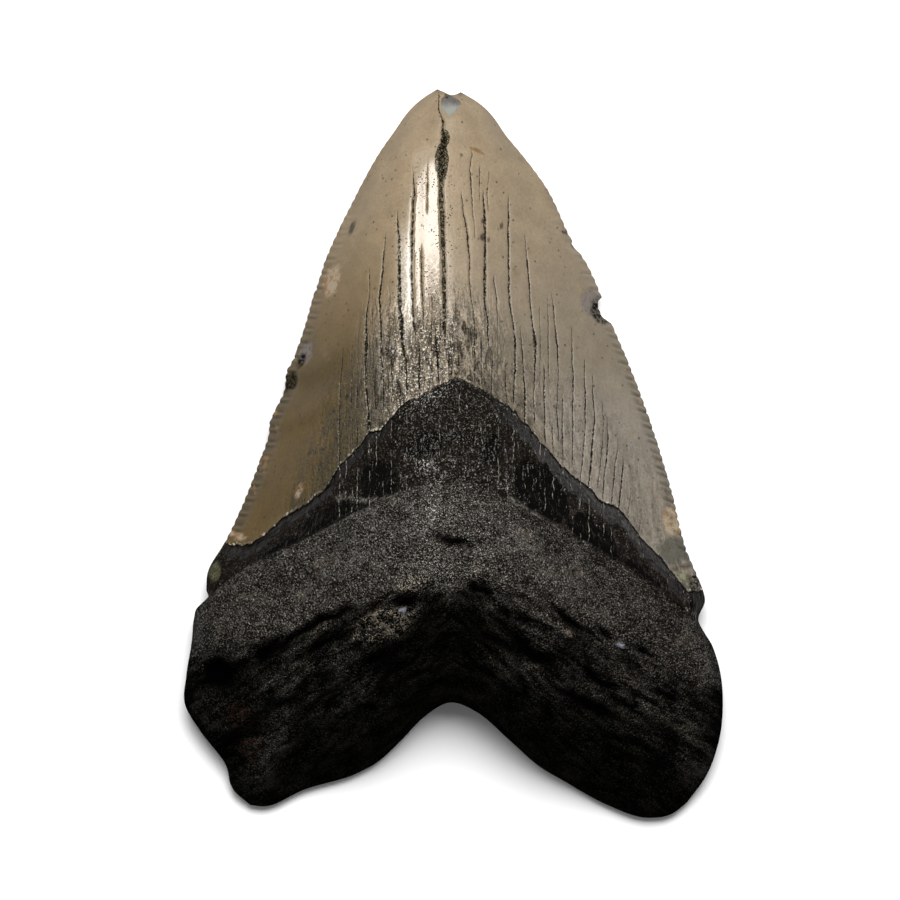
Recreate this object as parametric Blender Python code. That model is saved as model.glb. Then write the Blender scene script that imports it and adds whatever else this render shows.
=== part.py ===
"""A fossil megalodon tooth, modelled as one closed solid.

The tooth lies on its flat labial face. +Y runs from the root to the tip and +Z is the bulging
lingual face. The origin is the middle of the tooth's plan, on the surface that it lies on.

Two sheets, one for each face, share the tooth's outline. Each sheet is a plane grid whose rows
are bent to follow the arched base of the root, the crest of the root, the neck and the foot of
the enamel. The ends of the rows run up the two cutting edges to the chipped tip.
"""
import math
from collections import namedtuple

import bmesh
import bpy
import numpy as np
from mathutils import Vector, noise

MM = 0.001
COLLECTION_NAME = "megalodon_tooth"
TOOTH_NAME = "tooth"

# Plan of the tooth in millimetres, as (x, y) points that a smooth curve passes through.
LEFT_SIDE = (
    (-28.5, -49.2), (-30.6, -47.4), (-32.0, -43.4), (-35.5, -38.7), (-37.6, -35.0), (-37.4, -31.0),
    (-36.6, -26.0), (-36.3, -22.9), (-34.9, -20.2), (-34.4, -16.5), (-32.1, -12.4), (-27.2, -0.9),
    (-21.8, 15.3), (-18.3, 26.3), (-14.2, 35.4), (-8.8, 44.6), (-3.9, 50.2), (-2.3, 51.2),
)
RIGHT_SIDE = (
    (32.8, -48.8), (35.3, -45.3), (37.1, -40.5), (37.7, -35.5), (36.6, -28.8), (35.1, -24.9),
    (34.3, -23.3), (35.2, -20.4), (34.4, -17.6), (32.8, -13.8), (30.5, -4.8), (27.5, 5.0),
    (23.9, 14.5), (20.8, 21.9), (16.9, 29.6), (13.0, 37.5), (7.8, 44.2), (2.6, 49.9), (1.0, 50.8),
)
ROOT_BASE = (
    (-28.5, -49.2), (-26.6, -49.4), (-21.1, -47.1), (-13.0, -44.5), (-10.7, -43.2), (-7.5, -40.3),
    (-4.2, -36.9), (-0.5, -34.8), (3.2, -36.1), (8.1, -40.3), (11.8, -43.6), (15.6, -45.9),
    (21.6, -49.2), (27.5, -51.0), (30.9, -50.3), (32.8, -48.8),
)
ROOT_CREST = (
    (-37.0, -28.5), (-29.0, -27.2), (-22.9, -24.9), (-10.3, -20.1), (-0.5, -18.4), (10.7, -20.7),
    (23.3, -27.4), (29.6, -30.5), (37.2, -32.1),
)
NECK = (
    (-35.6, -21.1), (-31.3, -17.2), (-20.7, -11.7), (-9.2, -6.0), (0.0, -3.6), (8.6, -6.8),
    (20.2, -13.2), (28.9, -18.7), (34.4, -23.5),
)
ENAMEL_FOOT = (
    (-32.1, -12.4), (-28.5, -12.3), (-21.6, -7.6), (-14.9, -1.5), (-10.4, 3.0), (-6.7, 7.5),
    (0.5, 10.6), (7.1, 7.4), (11.6, 2.2), (18.8, -4.4), (22.8, -7.4), (28.4, -14.2), (34.4, -17.6),
)
TIP = ((-2.3, 51.2), (-1.3, 50.8), (-0.4, 50.4), (0.4, 50.5), (1.0, 50.8))

# Stations up the tooth. Between two stations the rows change evenly from one line to the next.
BASE_STATION = 0.0
CREST_STATION = 1.0
NECK_STATION = 2.0
FOOT_STATION = 3.0
TIP_STATION = 7.0
STATIONS = (BASE_STATION, CREST_STATION, NECK_STATION, FOOT_STATION, TIP_STATION)
ROW_LINES = (ROOT_BASE, ROOT_CREST, NECK, ENAMEL_FOOT, TIP)
CROWN_ARCH_FADE = 0.8

# Heights in millimetres, as (station, height) points.
EDGE_HEIGHT = (
    (0.0, 2.0), (1.0, 5.2), (2.0, 5.0), (3.0, 4.6), (4.0, 3.6), (5.0, 2.9), (6.0, 2.8), (7.0, 3.4),
)
LINGUAL_RISE = (
    (0.0, 21.0), (1.0, 18.8), (1.5, 17.8), (2.0, 15.6), (3.0, 12.6), (4.0, 11.3), (5.0, 9.8),
    (6.0, 7.4), (6.6, 5.0), (7.0, 2.6),
)
LABIAL_BELLY = (
    (0.0, 0.1), (1.0, 0.3), (2.0, 0.2), (3.0, 0.35), (4.0, 0.5), (5.0, 0.3), (6.0, -0.3), (6.6, -1.2),
    (7.0, -2.2),
)
ENAMEL_STEP = 0.5
NECK_GROOVE = 0.4
NECK_GROOVE_REACH = 0.12
LABIAL_NECK_GROOVE = 0.5
LABIAL_NECK_GROOVE_REACH = 0.16
LABIAL_HOLLOW = 1.8
TIP_BLUNTNESS = 0.06

# Cross-section: "spread" runs from 0 in the middle of a row to 1 at its ends.
CROWN_PEAK_SHARE = 0.3
LOBE_DROP = 0.52
LOBE_START = 0.9
LINGUAL_SQUARENESS = 5
LABIAL_SQUARENESS = 6
BASE_FULLNESS = 3.0
LOBE_EXTRA_FULLNESS = -0.8
LABIAL_FULLNESS = 3.0
RELIEF_FADE = 6.0
LEAST_BODY = 0.15

# The nearly level strip along the crown's crest. The falls are shares of the crown's rise.
STRIP_MIDDLE = -3.65
STRIP_HALF_WIDTH = 1.95
STRIP_FALL = 0.03
LEFT_FALL = 0.12
RIGHT_FALL = 0.42

# Serrations of the two cutting edges.
SERRATIONS_PER_SIDE = 60
SERRATION_DEPTH = 0.32
LEAST_WEAR = 0.7
EDGE_CUTS = 3
MARGIN = 0.10

# Rows of the grid between the stations, and its columns.
ROWS_BASE_TO_CREST = 14
ROWS_CREST_TO_NECK = 8
ROWS_NECK_TO_FOOT = 5
ROWS_FOOT_TO_TIP = 30
COLUMNS = 42
COLUMN_CROWDING = 0.55
STEP_HALF_WIDTH = 0.03

# Relief of the lingual face, in millimetres.
Groove = namedtuple("Groove", "points width depth")
Pit = namedtuple("Pit", "x y length width angle depth")
Notch = namedtuple("Notch", "side y half_length depth")

GROOVES = (
    Groove(((-9.6, -20.0), (-6.8, -20.4), (-4.2, -19.6)), 1.5, 2.0),
    Groove(((-9.0, -20.6), (-20.1, -23.4), (-27.9, -27.6)), 1.6, 1.3),
    Groove(((-14.0, -26.6), (-22.0, -30.0), (-29.0, -34.5)), 1.7, 0.9),
    Groove(((-2.6, -11.5), (0.2, -11.8), (3.1, -12.4)), 1.1, 0.9),
    Groove(((12.6, -20.8), (16.0, -22.8)), 1.4, 1.5),
    Groove(((16.8, -23.8), (18.9, -25.7)), 1.4, 1.4),
    Groove(((8.0, -27.6), (13.2, -30.6), (20.5, -35.0)), 1.6, 1.0),
    Groove(((20.0, -27.0), (26.5, -31.0), (33.0, -34.4)), 1.6, 1.0),
)
PITS = (
    Pit(4.0, -18.9, 3.6, 2.6, 10.0, 1.8),
    Pit(-32.2, -30.0, 6.5, 4.5, 70.0, 1.1),
    Pit(-10.2, -23.2, 8.0, 4.0, 18.0, 1.0),
    Pit(22.0, -40.0, 9.0, 5.0, -40.0, 0.8),
    Pit(0.0, -25.0, 9.0, 5.0, 0.0, 0.6),
)
NODULES = (
    Pit(-33.6, -17.4, 5.5, 2.6, 80.0, -1.3),
    Pit(33.8, -20.9, 5.0, 3.0, 95.0, -1.7),
    Pit(32.0, -17.4, 3.4, 2.2, 20.0, -0.6),
)
EDGE_CHIPS = (
    Notch("right", 20.9, 1.9, 1.0),
    Notch("left", 13.4, 1.2, 0.5),
    Notch("left", 9.9, 1.5, 0.6),
    Notch("left", 24.6, 2.0, 0.4),
    Notch("right", -9.5, 2.2, 0.4),
)
LUMP_SIZE = 8.5
LUMP_HEIGHT = 0.8
GRAIN_SIZE = 3.1
GRAIN_HEIGHT = 0.4
LUMP_SEED = 3.7
GRAIN_SEED = 9.1
LABIAL_SEED = 21.3

TOOTH_COLOUR = (0.10, 0.085, 0.065, 1.0)
TOOTH_ROUGHNESS = 0.45


def clear_scene():
    """Remove every object that the file starts with."""
    for item in list(bpy.data.objects):
        bpy.data.objects.remove(item, do_unlink=True)


def smooth_curve(points):
    """Return a function that passes smoothly through (where, value) points."""
    ordered = sorted(points)
    where = np.array([point[0] for point in ordered])
    value = np.array([point[1] for point in ordered])
    slope = np.gradient(value, where)

    def value_at(position):
        position = np.clip(position, where[0], where[-1])
        first = np.clip(np.searchsorted(where, position) - 1, 0, len(where) - 2)
        span = where[first + 1] - where[first]
        part = (position - where[first]) / span
        rest = 1.0 - part
        low_end = value[first] * (1.0 + 2.0 * part) * rest ** 2
        high_end = value[first + 1] * (3.0 - 2.0 * part) * part ** 2
        turns = slope[first] * part * rest ** 2 - slope[first + 1] * part ** 2 * rest
        return low_end + high_end + span * turns

    return value_at


def smooth_step(low, high, value):
    """Return 0 below low and 1 above high, with a smooth change between them."""
    part = np.clip((value - low) / (high - low), 0.0, 1.0)
    return part * part * (3.0 - 2.0 * part)


def swapped(points):
    """Return (y, x) pairs for (x, y) points."""
    return tuple((y, x) for x, y in points)


LEFT_X = smooth_curve(swapped(LEFT_SIDE))
RIGHT_X = smooth_curve(swapped(RIGHT_SIDE))
EDGE_Z = smooth_curve(EDGE_HEIGHT)
RISE_Z = smooth_curve(LINGUAL_RISE)
BELLY_Z = smooth_curve(LABIAL_BELLY)


def side_y(station, end):
    """Return the y at which the rows meet one side: end 0 is the left side, -1 the right side."""
    return np.interp(station, STATIONS, [line[end][1] for line in ROW_LINES])


def row_arch(line, u):
    """Return how far a row line stands above the straight line between its ends."""
    (start_x, start_y), (end_x, end_y) = line[0], line[-1]
    y = smooth_curve(line)(start_x + (end_x - start_x) * u)
    return y - (start_y + (end_y - start_y) * u)


def arch_at(u, station):
    """Return the arch of the row at a station, blended from the two lines beside it."""
    arches = np.array([row_arch(line, u) for line in ROW_LINES])
    marks = np.array(STATIONS)
    first = np.clip(np.searchsorted(marks, station) - 1, 0, len(marks) - 2)
    part = (station - marks[first]) / (marks[first + 1] - marks[first])
    part = np.where(station > FOOT_STATION, part ** CROWN_ARCH_FADE, part)
    place = np.arange(len(u))
    return arches[first, place] * (1.0 - part) + arches[first + 1, place] * part


def serration_cut(station):
    """Return how deep the cutting edge is cut at a station: 0 on a serration's point."""
    phase = (station - FOOT_STATION) / (TIP_STATION - FOOT_STATION) * SERRATIONS_PER_SIDE
    wave = 0.5 - 0.5 * np.cos(2.0 * math.pi * phase)
    wear = LEAST_WEAR + (1.0 - LEAST_WEAR) * np.sin(phase * 1.7) * np.sin(phase * 0.43)
    on_crown = (station > FOOT_STATION) & (station < TIP_STATION)
    return np.where(on_crown, wave * wear * SERRATION_DEPTH, 0.0)


def chip_cut(side, y):
    """Return how deep the chips cut into one cutting edge at the heights y."""
    cut = np.zeros_like(y)
    for chip in EDGE_CHIPS:
        if chip.side == side:
            nearness = np.clip(1.0 - ((y - chip.y) / chip.half_length) ** 2, 0.0, 1.0)
            cut = np.maximum(cut, chip.depth * np.sqrt(nearness))
    return cut


def plan_points(u, station):
    """Return the x and y of grid places: u runs 0 to 1 from the left side to the right side."""
    left_y = side_y(station, 0)
    right_y = side_y(station, -1)
    cut = serration_cut(station)
    left_cut = (cut + chip_cut("left", left_y)) * smooth_step(MARGIN, 0.0, u)
    right_cut = (cut + chip_cut("right", right_y)) * smooth_step(MARGIN, 0.0, 1.0 - u)
    left_x = LEFT_X(left_y)
    right_x = RIGHT_X(right_y)
    x = left_x + (right_x - left_x) * u + left_cut - right_cut
    y = left_y + (right_y - left_y) * u + arch_at(u, station)
    return x, y


def distance_to_line(x, y, points):
    """Return the distance of each (x, y) from a chain of straight pieces."""
    nearest = np.full_like(x, 1.0e6)
    for (start_x, start_y), (end_x, end_y) in zip(points, points[1:]):
        run_x = end_x - start_x
        run_y = end_y - start_y
        part = ((x - start_x) * run_x + (y - start_y) * run_y) / (run_x ** 2 + run_y ** 2)
        part = np.clip(part, 0.0, 1.0)
        gap = np.hypot(x - start_x - run_x * part, y - start_y - run_y * part)
        nearest = np.minimum(nearest, gap)
    return nearest


def pit_depth(pit, x, y):
    """Return the depth of an oval dent. A negative depth makes a bump."""
    turn = math.radians(pit.angle)
    along = (x - pit.x) * math.cos(turn) + (y - pit.y) * math.sin(turn)
    across = (y - pit.y) * math.cos(turn) - (x - pit.x) * math.sin(turn)
    spread = (2.0 * along / pit.length) ** 2 + (2.0 * across / pit.width) ** 2
    return pit.depth * np.exp(-1.4 * spread)


def lumps(x, y, size, seed):
    """Return smooth noise between about -1 and 1 with lumps of the given size."""
    places = zip(x / size, y / size)
    return np.array([noise.noise(Vector((a, b, seed))) for a, b in places])


def lingual_relief(x, y, station):
    """Return the height that lumps, furrows, pits and nodules add to the lingual face."""
    on_root = smooth_step(NECK_STATION + 0.1, NECK_STATION - 0.3, station)
    relief = on_root * LUMP_HEIGHT * lumps(x, y, LUMP_SIZE, LUMP_SEED)
    relief += on_root * GRAIN_HEIGHT * lumps(x, y, GRAIN_SIZE, GRAIN_SEED)
    for groove in GROOVES:
        relief -= groove.depth * np.exp(-(distance_to_line(x, y, groove.points) / groove.width) ** 2)
    for pit in PITS + NODULES:
        relief -= pit_depth(pit, x, y)
    return relief


def strip_dome(u, station):
    """Return the crown's cross-section with its strip: 1 on the crest and 0 at the edges."""
    left_x = LEFT_X(side_y(station, 0))
    right_x = RIGHT_X(side_y(station, -1))
    width = right_x - left_x
    x = left_x + width * u
    broad = smooth_step(4.0, 16.0, width)
    middle = STRIP_MIDDLE * broad + 0.5 * (left_x + right_x) * (1.0 - broad)
    half = STRIP_HALF_WIDTH * smooth_step(1.0, 14.0, width)
    along = np.clip((x - middle + half) / np.maximum(2.0 * half, 1e-6), 0.0, 1.0)
    left = np.clip((middle - half - x) / np.maximum(middle - half - left_x, 1e-6), 0.0, 1.0)
    right = np.clip((x - middle - half) / np.maximum(right_x - middle - half, 1e-6), 0.0, 1.0)
    left_drop = LEFT_FALL * left + (1.0 - LEFT_FALL) * left ** 2
    right_drop = RIGHT_FALL * right + (1.0 - STRIP_FALL - RIGHT_FALL) * right ** 2
    return 1.0 - STRIP_FALL * along - left_drop - right_drop


def cross_section(u, station):
    """Return the lingual face's height across the tooth, from 0 at the edges to 1 in the middle."""
    spread = np.abs(2.0 * u - 1.0)
    dome = 1.0 - spread ** 2
    dome += CROWN_PEAK_SHARE * (dome ** 2 - dome)
    strip = smooth_step(FOOT_STATION - 0.3, FOOT_STATION + 0.6, station)
    crown = dome * (1.0 - strip) + strip_dome(u, station) * strip
    root = np.sqrt(1.0 - spread ** LINGUAL_SQUARENESS)
    root *= 1.0 - LOBE_DROP * smooth_step(0.0, LOBE_START, spread)
    share = smooth_step(NECK_STATION - 0.6, FOOT_STATION + 0.2, station)
    return root * (1.0 - share) + crown * share


def rounding(station, fullness):
    """Return the round profile of the root's base and of the blunt tip, from 0 to 1."""
    from_base = np.clip(station / CREST_STATION, 0.0, 1.0)
    from_tip = np.clip((TIP_STATION - station) / TIP_BLUNTNESS, 0.0, 1.0)
    base = np.sqrt(1.0 - (1.0 - from_base) ** fullness)
    return base * np.sqrt(1.0 - (1.0 - from_tip) ** 2)


def lingual_height(u, station, x, y):
    """Return the height of the upper, bulging face."""
    spread = np.abs(2.0 * u - 1.0)
    fullness = BASE_FULLNESS + LOBE_EXTRA_FULLNESS * smooth_step(0.3, 0.8, spread)
    body = RISE_Z(station) * cross_section(u, station) * rounding(station, fullness)
    inside = np.clip(RELIEF_FADE * body / RISE_Z(station), 0.0, 1.0)
    below_enamel = smooth_step(STEP_HALF_WIDTH, -STEP_HALF_WIDTH, station - FOOT_STATION)
    step = ENAMEL_STEP * below_enamel * smooth_step(CREST_STATION, NECK_STATION, station)
    neck = NECK_GROOVE * np.exp(-((station - NECK_STATION) / NECK_GROOVE_REACH) ** 2)
    relief = lingual_relief(x, y, station) - step - neck
    return EDGE_Z(station) + np.maximum(body + relief * inside, LEAST_BODY * body)


def labial_height(u, station, x, y):
    """Return the height of the lower face, flat where the tooth rests."""
    spread = np.abs(2.0 * u - 1.0)
    edge = EDGE_Z(station)
    reach = edge + BELLY_Z(station)
    crown = reach * (1.0 - spread ** 2)
    inside = np.sqrt(1.0 - spread ** LABIAL_SQUARENESS)
    middle = smooth_step(0.6, 0.1, spread)
    root = reach * inside - LABIAL_HOLLOW * middle * np.exp(-((station - 0.3) / 0.5) ** 2)
    share = smooth_step(CREST_STATION, FOOT_STATION, station)
    depth = root * (1.0 - share) + crown * share
    depth *= rounding(station, LABIAL_FULLNESS)
    neck = 1.35 + 1.1 * spread ** 1.6
    groove = LABIAL_NECK_GROOVE * np.exp(-((station - neck) / LABIAL_NECK_GROOVE_REACH) ** 2)
    on_root = smooth_step(neck + 0.1, neck - 0.3, station) * smooth_step(0.0, 0.2, station)
    depth += inside * (on_root * GRAIN_HEIGHT * lumps(x, y, LUMP_SIZE, LABIAL_SEED) - groove)
    return np.maximum(edge - depth, 0.0)


def row_stations():
    """Return the station of each grid row, with a close pair of rows at the enamel's foot."""
    base = 1.0 - np.cos(np.linspace(0.0, 0.5 * math.pi, ROWS_BASE_TO_CREST + 1))
    crest = np.linspace(CREST_STATION, NECK_STATION, ROWS_CREST_TO_NECK + 1)
    bourlette = np.linspace(NECK_STATION, FOOT_STATION - STEP_HALF_WIDTH, ROWS_NECK_TO_FOOT + 1)
    crown = np.linspace(FOOT_STATION, TIP_STATION, ROWS_FOOT_TO_TIP + 1)
    return np.concatenate((base, crest[1:], bourlette[1:], crown))


def column_places():
    """Return the u of each grid column. The columns are closer together near the sides."""
    even = np.linspace(0.0, 1.0, COLUMNS + 1)
    rounded = 0.5 - 0.5 * np.cos(math.pi * even)
    return even + COLUMN_CROWDING * (rounded - even)


def flat_sheet(row_count):
    """Return a unit grid whose side edges along the crown are cut finer, for the serrations."""
    sheet = bmesh.new()
    bmesh.ops.create_grid(sheet, x_segments=COLUMNS, y_segments=row_count - 1, size=0.5)
    bmesh.ops.translate(sheet, verts=sheet.verts, vec=Vector((0.5, 0.5, 0.0)))
    crown_start = 1.0 - (ROWS_FOOT_TO_TIP + 0.5) / (row_count - 1)
    side_edges = [
        edge for edge in sheet.edges
        if edge.is_boundary
        and abs(edge.verts[0].co.x - edge.verts[1].co.x) < 0.1 / COLUMNS
        and min(vert.co.y for vert in edge.verts) > crown_start
    ]
    bmesh.ops.subdivide_edges(sheet, edges=side_edges, cuts=EDGE_CUTS)
    return sheet


def add_sheet(mesh, rows, height_of, upwards):
    """Add one face of the tooth: a grid bent to the rows and raised by a height function."""
    sheet = flat_sheet(len(rows))
    columns = column_places()
    across = np.array([vert.co.x for vert in sheet.verts])
    along = np.array([vert.co.y for vert in sheet.verts])
    u = np.interp(across, np.linspace(0.0, 1.0, len(columns)), columns)
    station = np.interp(along, np.linspace(0.0, 1.0, len(rows)), rows)
    x, y = plan_points(u, station)
    z = height_of(u, station, x, y)
    for vert, place in zip(sheet.verts, zip(x, y, z)):
        vert.co = Vector(place) * MM
    if not upwards:
        bmesh.ops.reverse_faces(sheet, faces=sheet.faces)
    data = bpy.data.meshes.new("sheet")
    sheet.to_mesh(data)
    sheet.free()
    mesh.from_mesh(data)
    bpy.data.meshes.remove(data)


def flatten_resting_face(mesh):
    """Join the coplanar triangles on which the tooth rests."""
    resting = [face for face in mesh.faces if max(vert.co.z for vert in face.verts) < 0.001 * MM]
    verts = list({vert for face in resting for vert in face.verts})
    edges = list({edge for face in resting for edge in face.edges})
    bmesh.ops.dissolve_limit(mesh, angle_limit=math.radians(0.1), verts=verts, edges=edges)


def build_tooth_mesh():
    """Return the tooth's mesh: two sheets welded along the outline."""
    mesh = bmesh.new()
    rows = row_stations()
    add_sheet(mesh, rows, lingual_height, upwards=True)
    add_sheet(mesh, rows, labial_height, upwards=False)
    bmesh.ops.remove_doubles(mesh, verts=mesh.verts, dist=0.01 * MM)
    bmesh.ops.triangulate(mesh, faces=mesh.faces, quad_method="SHORT_EDGE")
    flatten_resting_face(mesh)
    bmesh.ops.recalc_face_normals(mesh, faces=mesh.faces)
    data = bpy.data.meshes.new(TOOTH_NAME)
    mesh.to_mesh(data)
    mesh.free()
    return data


def tooth_material():
    """Return the tooth's plain material."""
    material = bpy.data.materials.new("fossil_tooth")
    material.use_nodes = True
    shader = material.node_tree.nodes["Principled BSDF"]
    shader.inputs["Base Color"].default_value = TOOTH_COLOUR
    shader.inputs["Roughness"].default_value = TOOTH_ROUGHNESS
    shader.inputs["Metallic"].default_value = 0.0
    return material


def main():
    """Build the tooth in a collection of its own."""
    clear_scene()
    collection = bpy.data.collections.new(COLLECTION_NAME)
    bpy.context.scene.collection.children.link(collection)
    data = build_tooth_mesh()
    data.materials.append(tooth_material())
    data.shade_smooth()
    tooth = bpy.data.objects.new(TOOTH_NAME, data)
    collection.objects.link(tooth)


main()
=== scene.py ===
"""Looks of a fossil megalodon tooth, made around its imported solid.

The tooth lies on its flat labial face. +Y runs from the root to the tip and +Z is the bulging
lingual face. Lengths in this file are in millimetres unless a name says otherwise. Two sheets,
one for each face, share the tooth's outline. Each starts as a plane grid and is bent to the
plan and the heights of the tooth, and its points carry the masks that the finishes read.
"""
from __future__ import annotations

import logging
import math
from dataclasses import dataclass, field
from enum import Enum
from functools import cached_property
from typing import Callable, Iterable, Sequence

import bmesh
import bpy
import numpy as np
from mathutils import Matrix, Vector, noise

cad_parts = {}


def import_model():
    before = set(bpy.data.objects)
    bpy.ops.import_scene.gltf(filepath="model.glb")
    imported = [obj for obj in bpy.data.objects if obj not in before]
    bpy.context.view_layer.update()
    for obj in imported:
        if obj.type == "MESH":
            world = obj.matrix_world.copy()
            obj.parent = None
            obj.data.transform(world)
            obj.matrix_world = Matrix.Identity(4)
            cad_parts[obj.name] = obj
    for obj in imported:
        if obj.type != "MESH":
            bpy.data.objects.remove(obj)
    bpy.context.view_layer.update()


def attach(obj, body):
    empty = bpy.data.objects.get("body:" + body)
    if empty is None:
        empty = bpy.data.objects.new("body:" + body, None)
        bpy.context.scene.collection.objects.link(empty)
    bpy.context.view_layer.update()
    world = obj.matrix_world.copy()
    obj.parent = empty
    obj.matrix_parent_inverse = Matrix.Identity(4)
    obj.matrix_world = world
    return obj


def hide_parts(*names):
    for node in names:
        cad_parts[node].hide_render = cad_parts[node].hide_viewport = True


LOG = logging.getLogger("megalodon_tooth")
MM = 0.001

# Stations count up the tooth. These five are the lines that its grid rows follow: the base of
# the root, the root's crest, the neck, the foot of the enamel and the tip.
BASE, CREST, NECK, FOOT, TIP = 0.0, 1.0, 2.0, 3.0, 7.0
STATIONS = (BASE, CREST, NECK, FOOT, TIP)
# The last row of the band stands just below the enamel's foot, where the surface steps up.
BELOW_FOOT = 2.97
# Beside a crack, the count of the cracks changes by 1 in this distance.
CRACK_SPACING = 2.5
# The foot mask holds the distance from the enamel's foot, kept within these limits.
FOOT_RANGE = (-9.0, 3.0)
# The value that a shader's noise lies around.
NOISE_MIDDLE = 0.5

Point = tuple[float, float]
Colour = tuple[float, float, float, float]
Array = np.ndarray


class Side(Enum):
    """The two sides of the tooth from above, tip away. The value is a line's end on that side."""

    LEFT = 0
    RIGHT = -1


class Face(Enum):
    """The two faces of the tooth."""

    LINGUAL = "lingual"
    LABIAL = "labial"


class Mask(Enum):
    """The values that the tooth's points carry for its finishes."""

    FOOT = "foot"
    BOURLETTE = "bourlette"
    FLAKE = "flake"
    SEAM = "seam"
    # The root above its crest and its lit zones: charcoal against the black lower root, partly its own
    # colour and partly painted light and shade.
    UPPER = "upper"
    # Where the band and root sparkle: more sheen, and painted glints in the colour.
    SPARK = "spark"
    STEEP = "steep"
    # Darkness for the root's furrows, grooves and pits, painted there as shade.
    HOLLOW = "hollow"
    MARGIN = "margin"
    RIB = "rib"
    STAIN = "stain"
    PALE_CHIP = "pale_chip"
    DARK_CHIP = "dark_chip"
    GREY_CHIP = "grey_chip"
    SHELL_CHIP = "shell_chip"
    TAR = "tar"
    RUST = "rust"
    EARTH = "earth"
    RED_EARTH = "red_earth"
    CRACK_COUNT = "crack_count"
    CRACK_WIDTH = "crack_width"


# ---- Small numeric helpers ----


def smooth_step(low: float | Array, high: float | Array, value: Array) -> Array:
    """Change smoothly from 0 at low to 1 at high.

    Args:
        low: Value at which the result is 0.
        high: Value at which the result is 1.
        value: Values to convert.

    Returns:
        Numbers from 0 to 1.
    """
    part = np.clip((value - low) / (high - low), 0.0, 1.0)
    return part * part * (3.0 - 2.0 * part)


def bell(distance: Array, width: float | Array) -> Array:
    """Return 1 at distance 0, falling to nothing a few widths away."""
    return np.exp(-((distance / width) ** 2))


def smooth_curve(points: Iterable[Point]) -> Callable[[Array], Array]:
    """Make a function that passes smoothly through points.

    Args:
        points: (where, value) pairs, in any order.

    Returns:
        A function from where to value, held level past the ends.
    """
    ordered = sorted(points)
    where = np.array([point[0] for point in ordered])
    value = np.array([point[1] for point in ordered])
    slope = np.gradient(value, where)

    def value_at(position: Array) -> Array:
        """Return the curve's values at positions."""
        position = np.clip(position, where[0], where[-1])
        first = np.clip(np.searchsorted(where, position) - 1, 0, len(where) - 2)
        span = where[first + 1] - where[first]
        part = (position - where[first]) / span
        rest = 1.0 - part
        low_end = value[first] * (1.0 + 2.0 * part) * rest**2
        high_end = value[first + 1] * (3.0 - 2.0 * part) * part**2
        turns = slope[first] * part * rest**2 - slope[first + 1] * part**2 * rest
        return low_end + high_end + span * turns

    return value_at


def swapped(points: Iterable[Point]) -> list[Point]:
    """Return (y, x) pairs for (x, y) points."""
    return [(y, x) for x, y in points]


def lumps(x: Array, y: Array, size: float, seed: float, stretch: float = 1.0) -> Array:
    """Return smooth noise between about -1 and 1.

    Args:
        x: Places across the tooth.
        y: Places along the tooth.
        size: Size of a lump across the tooth.
        seed: Which pattern to use.
        stretch: How many times longer a lump is along the tooth.

    Returns:
        One number for each place.
    """
    places = zip(x / size, y / (size * stretch))
    return np.array([noise.noise(Vector((a, b, seed))) for a, b in places])


def distance_to_line(x: Array, y: Array, points: Sequence[Point]) -> tuple[Array, Array]:
    """Measure how far places are from a chain of straight pieces.

    Args:
        x: Places across the tooth.
        y: Places along the tooth.
        points: Corners of the chain.

    Returns:
        The distances, and how far along the chain the nearest points are, from 0 to 1.
    """
    nearest = np.full_like(x, 1.0e6)
    progress = np.zeros_like(x)
    lengths = [math.dist(a, b) for a, b in zip(points, points[1:])]
    total = sum(lengths)
    done = 0.0
    for (start_x, start_y), (end_x, end_y), length in zip(points, points[1:], lengths):
        run_x = end_x - start_x
        run_y = end_y - start_y
        part = ((x - start_x) * run_x + (y - start_y) * run_y) / length**2
        part = np.clip(part, 0.0, 1.0)
        gap = np.hypot(x - start_x - run_x * part, y - start_y - run_y * part)
        closer = gap < nearest
        nearest = np.where(closer, gap, nearest)
        progress = np.where(closer, (done + part * length) / total, progress)
        done += length
    return nearest, progress


def add_object(name: str, data: bpy.types.ID) -> bpy.types.Object:
    """Put a mesh, a light or a camera into the scene as a new object.

    Args:
        name: Name of the object.
        data: Its mesh, light or camera.

    Returns:
        The object, at the origin.
    """
    added = bpy.data.objects.new(name, data)
    bpy.context.scene.collection.objects.link(added)
    return added


# ---- The form of the tooth ----


@dataclass(frozen=True)
class Groove:
    """A furrow along a chain of points. A negative depth makes a ridge, and 0 only a mark."""

    points: tuple[Point, ...]
    width: float
    depth: float = 0.0


@dataclass(frozen=True)
class Oval:
    """An oval place on a face. Its length is turned by an angle, in degrees, from the x axis."""

    x: float
    y: float
    length: float
    width: float
    angle: float

    def shares(self, x: Array, y: Array) -> tuple[Array, Array]:
        """Return places along and across the oval, as shares of its half length and width.

        Args:
            x: Places across the tooth.
            y: Places along the tooth.

        Returns:
            The shares along the oval, and the shares across it.
        """
        turn = math.radians(self.angle)
        along = (x - self.x) * math.cos(turn) + (y - self.y) * math.sin(turn)
        across = (y - self.y) * math.cos(turn) - (x - self.x) * math.sin(turn)
        return 2.0 * along / self.length, 2.0 * across / self.width

    def nearness(self, x: Array, y: Array) -> Array:
        """Return 1 in the middle of the oval, falling to 0 around it."""
        along, across = self.shares(x, y)
        return np.exp(-1.4 * (along**2 + across**2))


@dataclass(frozen=True)
class Pit(Oval):
    """An oval dent. A negative depth makes a bump."""

    depth: float
    # How much painted shade darkens the dent.
    darkness: float = 0.0


@dataclass(frozen=True)
class Spot(Oval):
    """An oval part of a mask, which leaves the surface as it is."""

    strength: float = 1.0


@dataclass(frozen=True)
class Notch:
    """A bite out of one cutting edge."""

    side: Side
    y: float
    half_length: float
    depth: float


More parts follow.
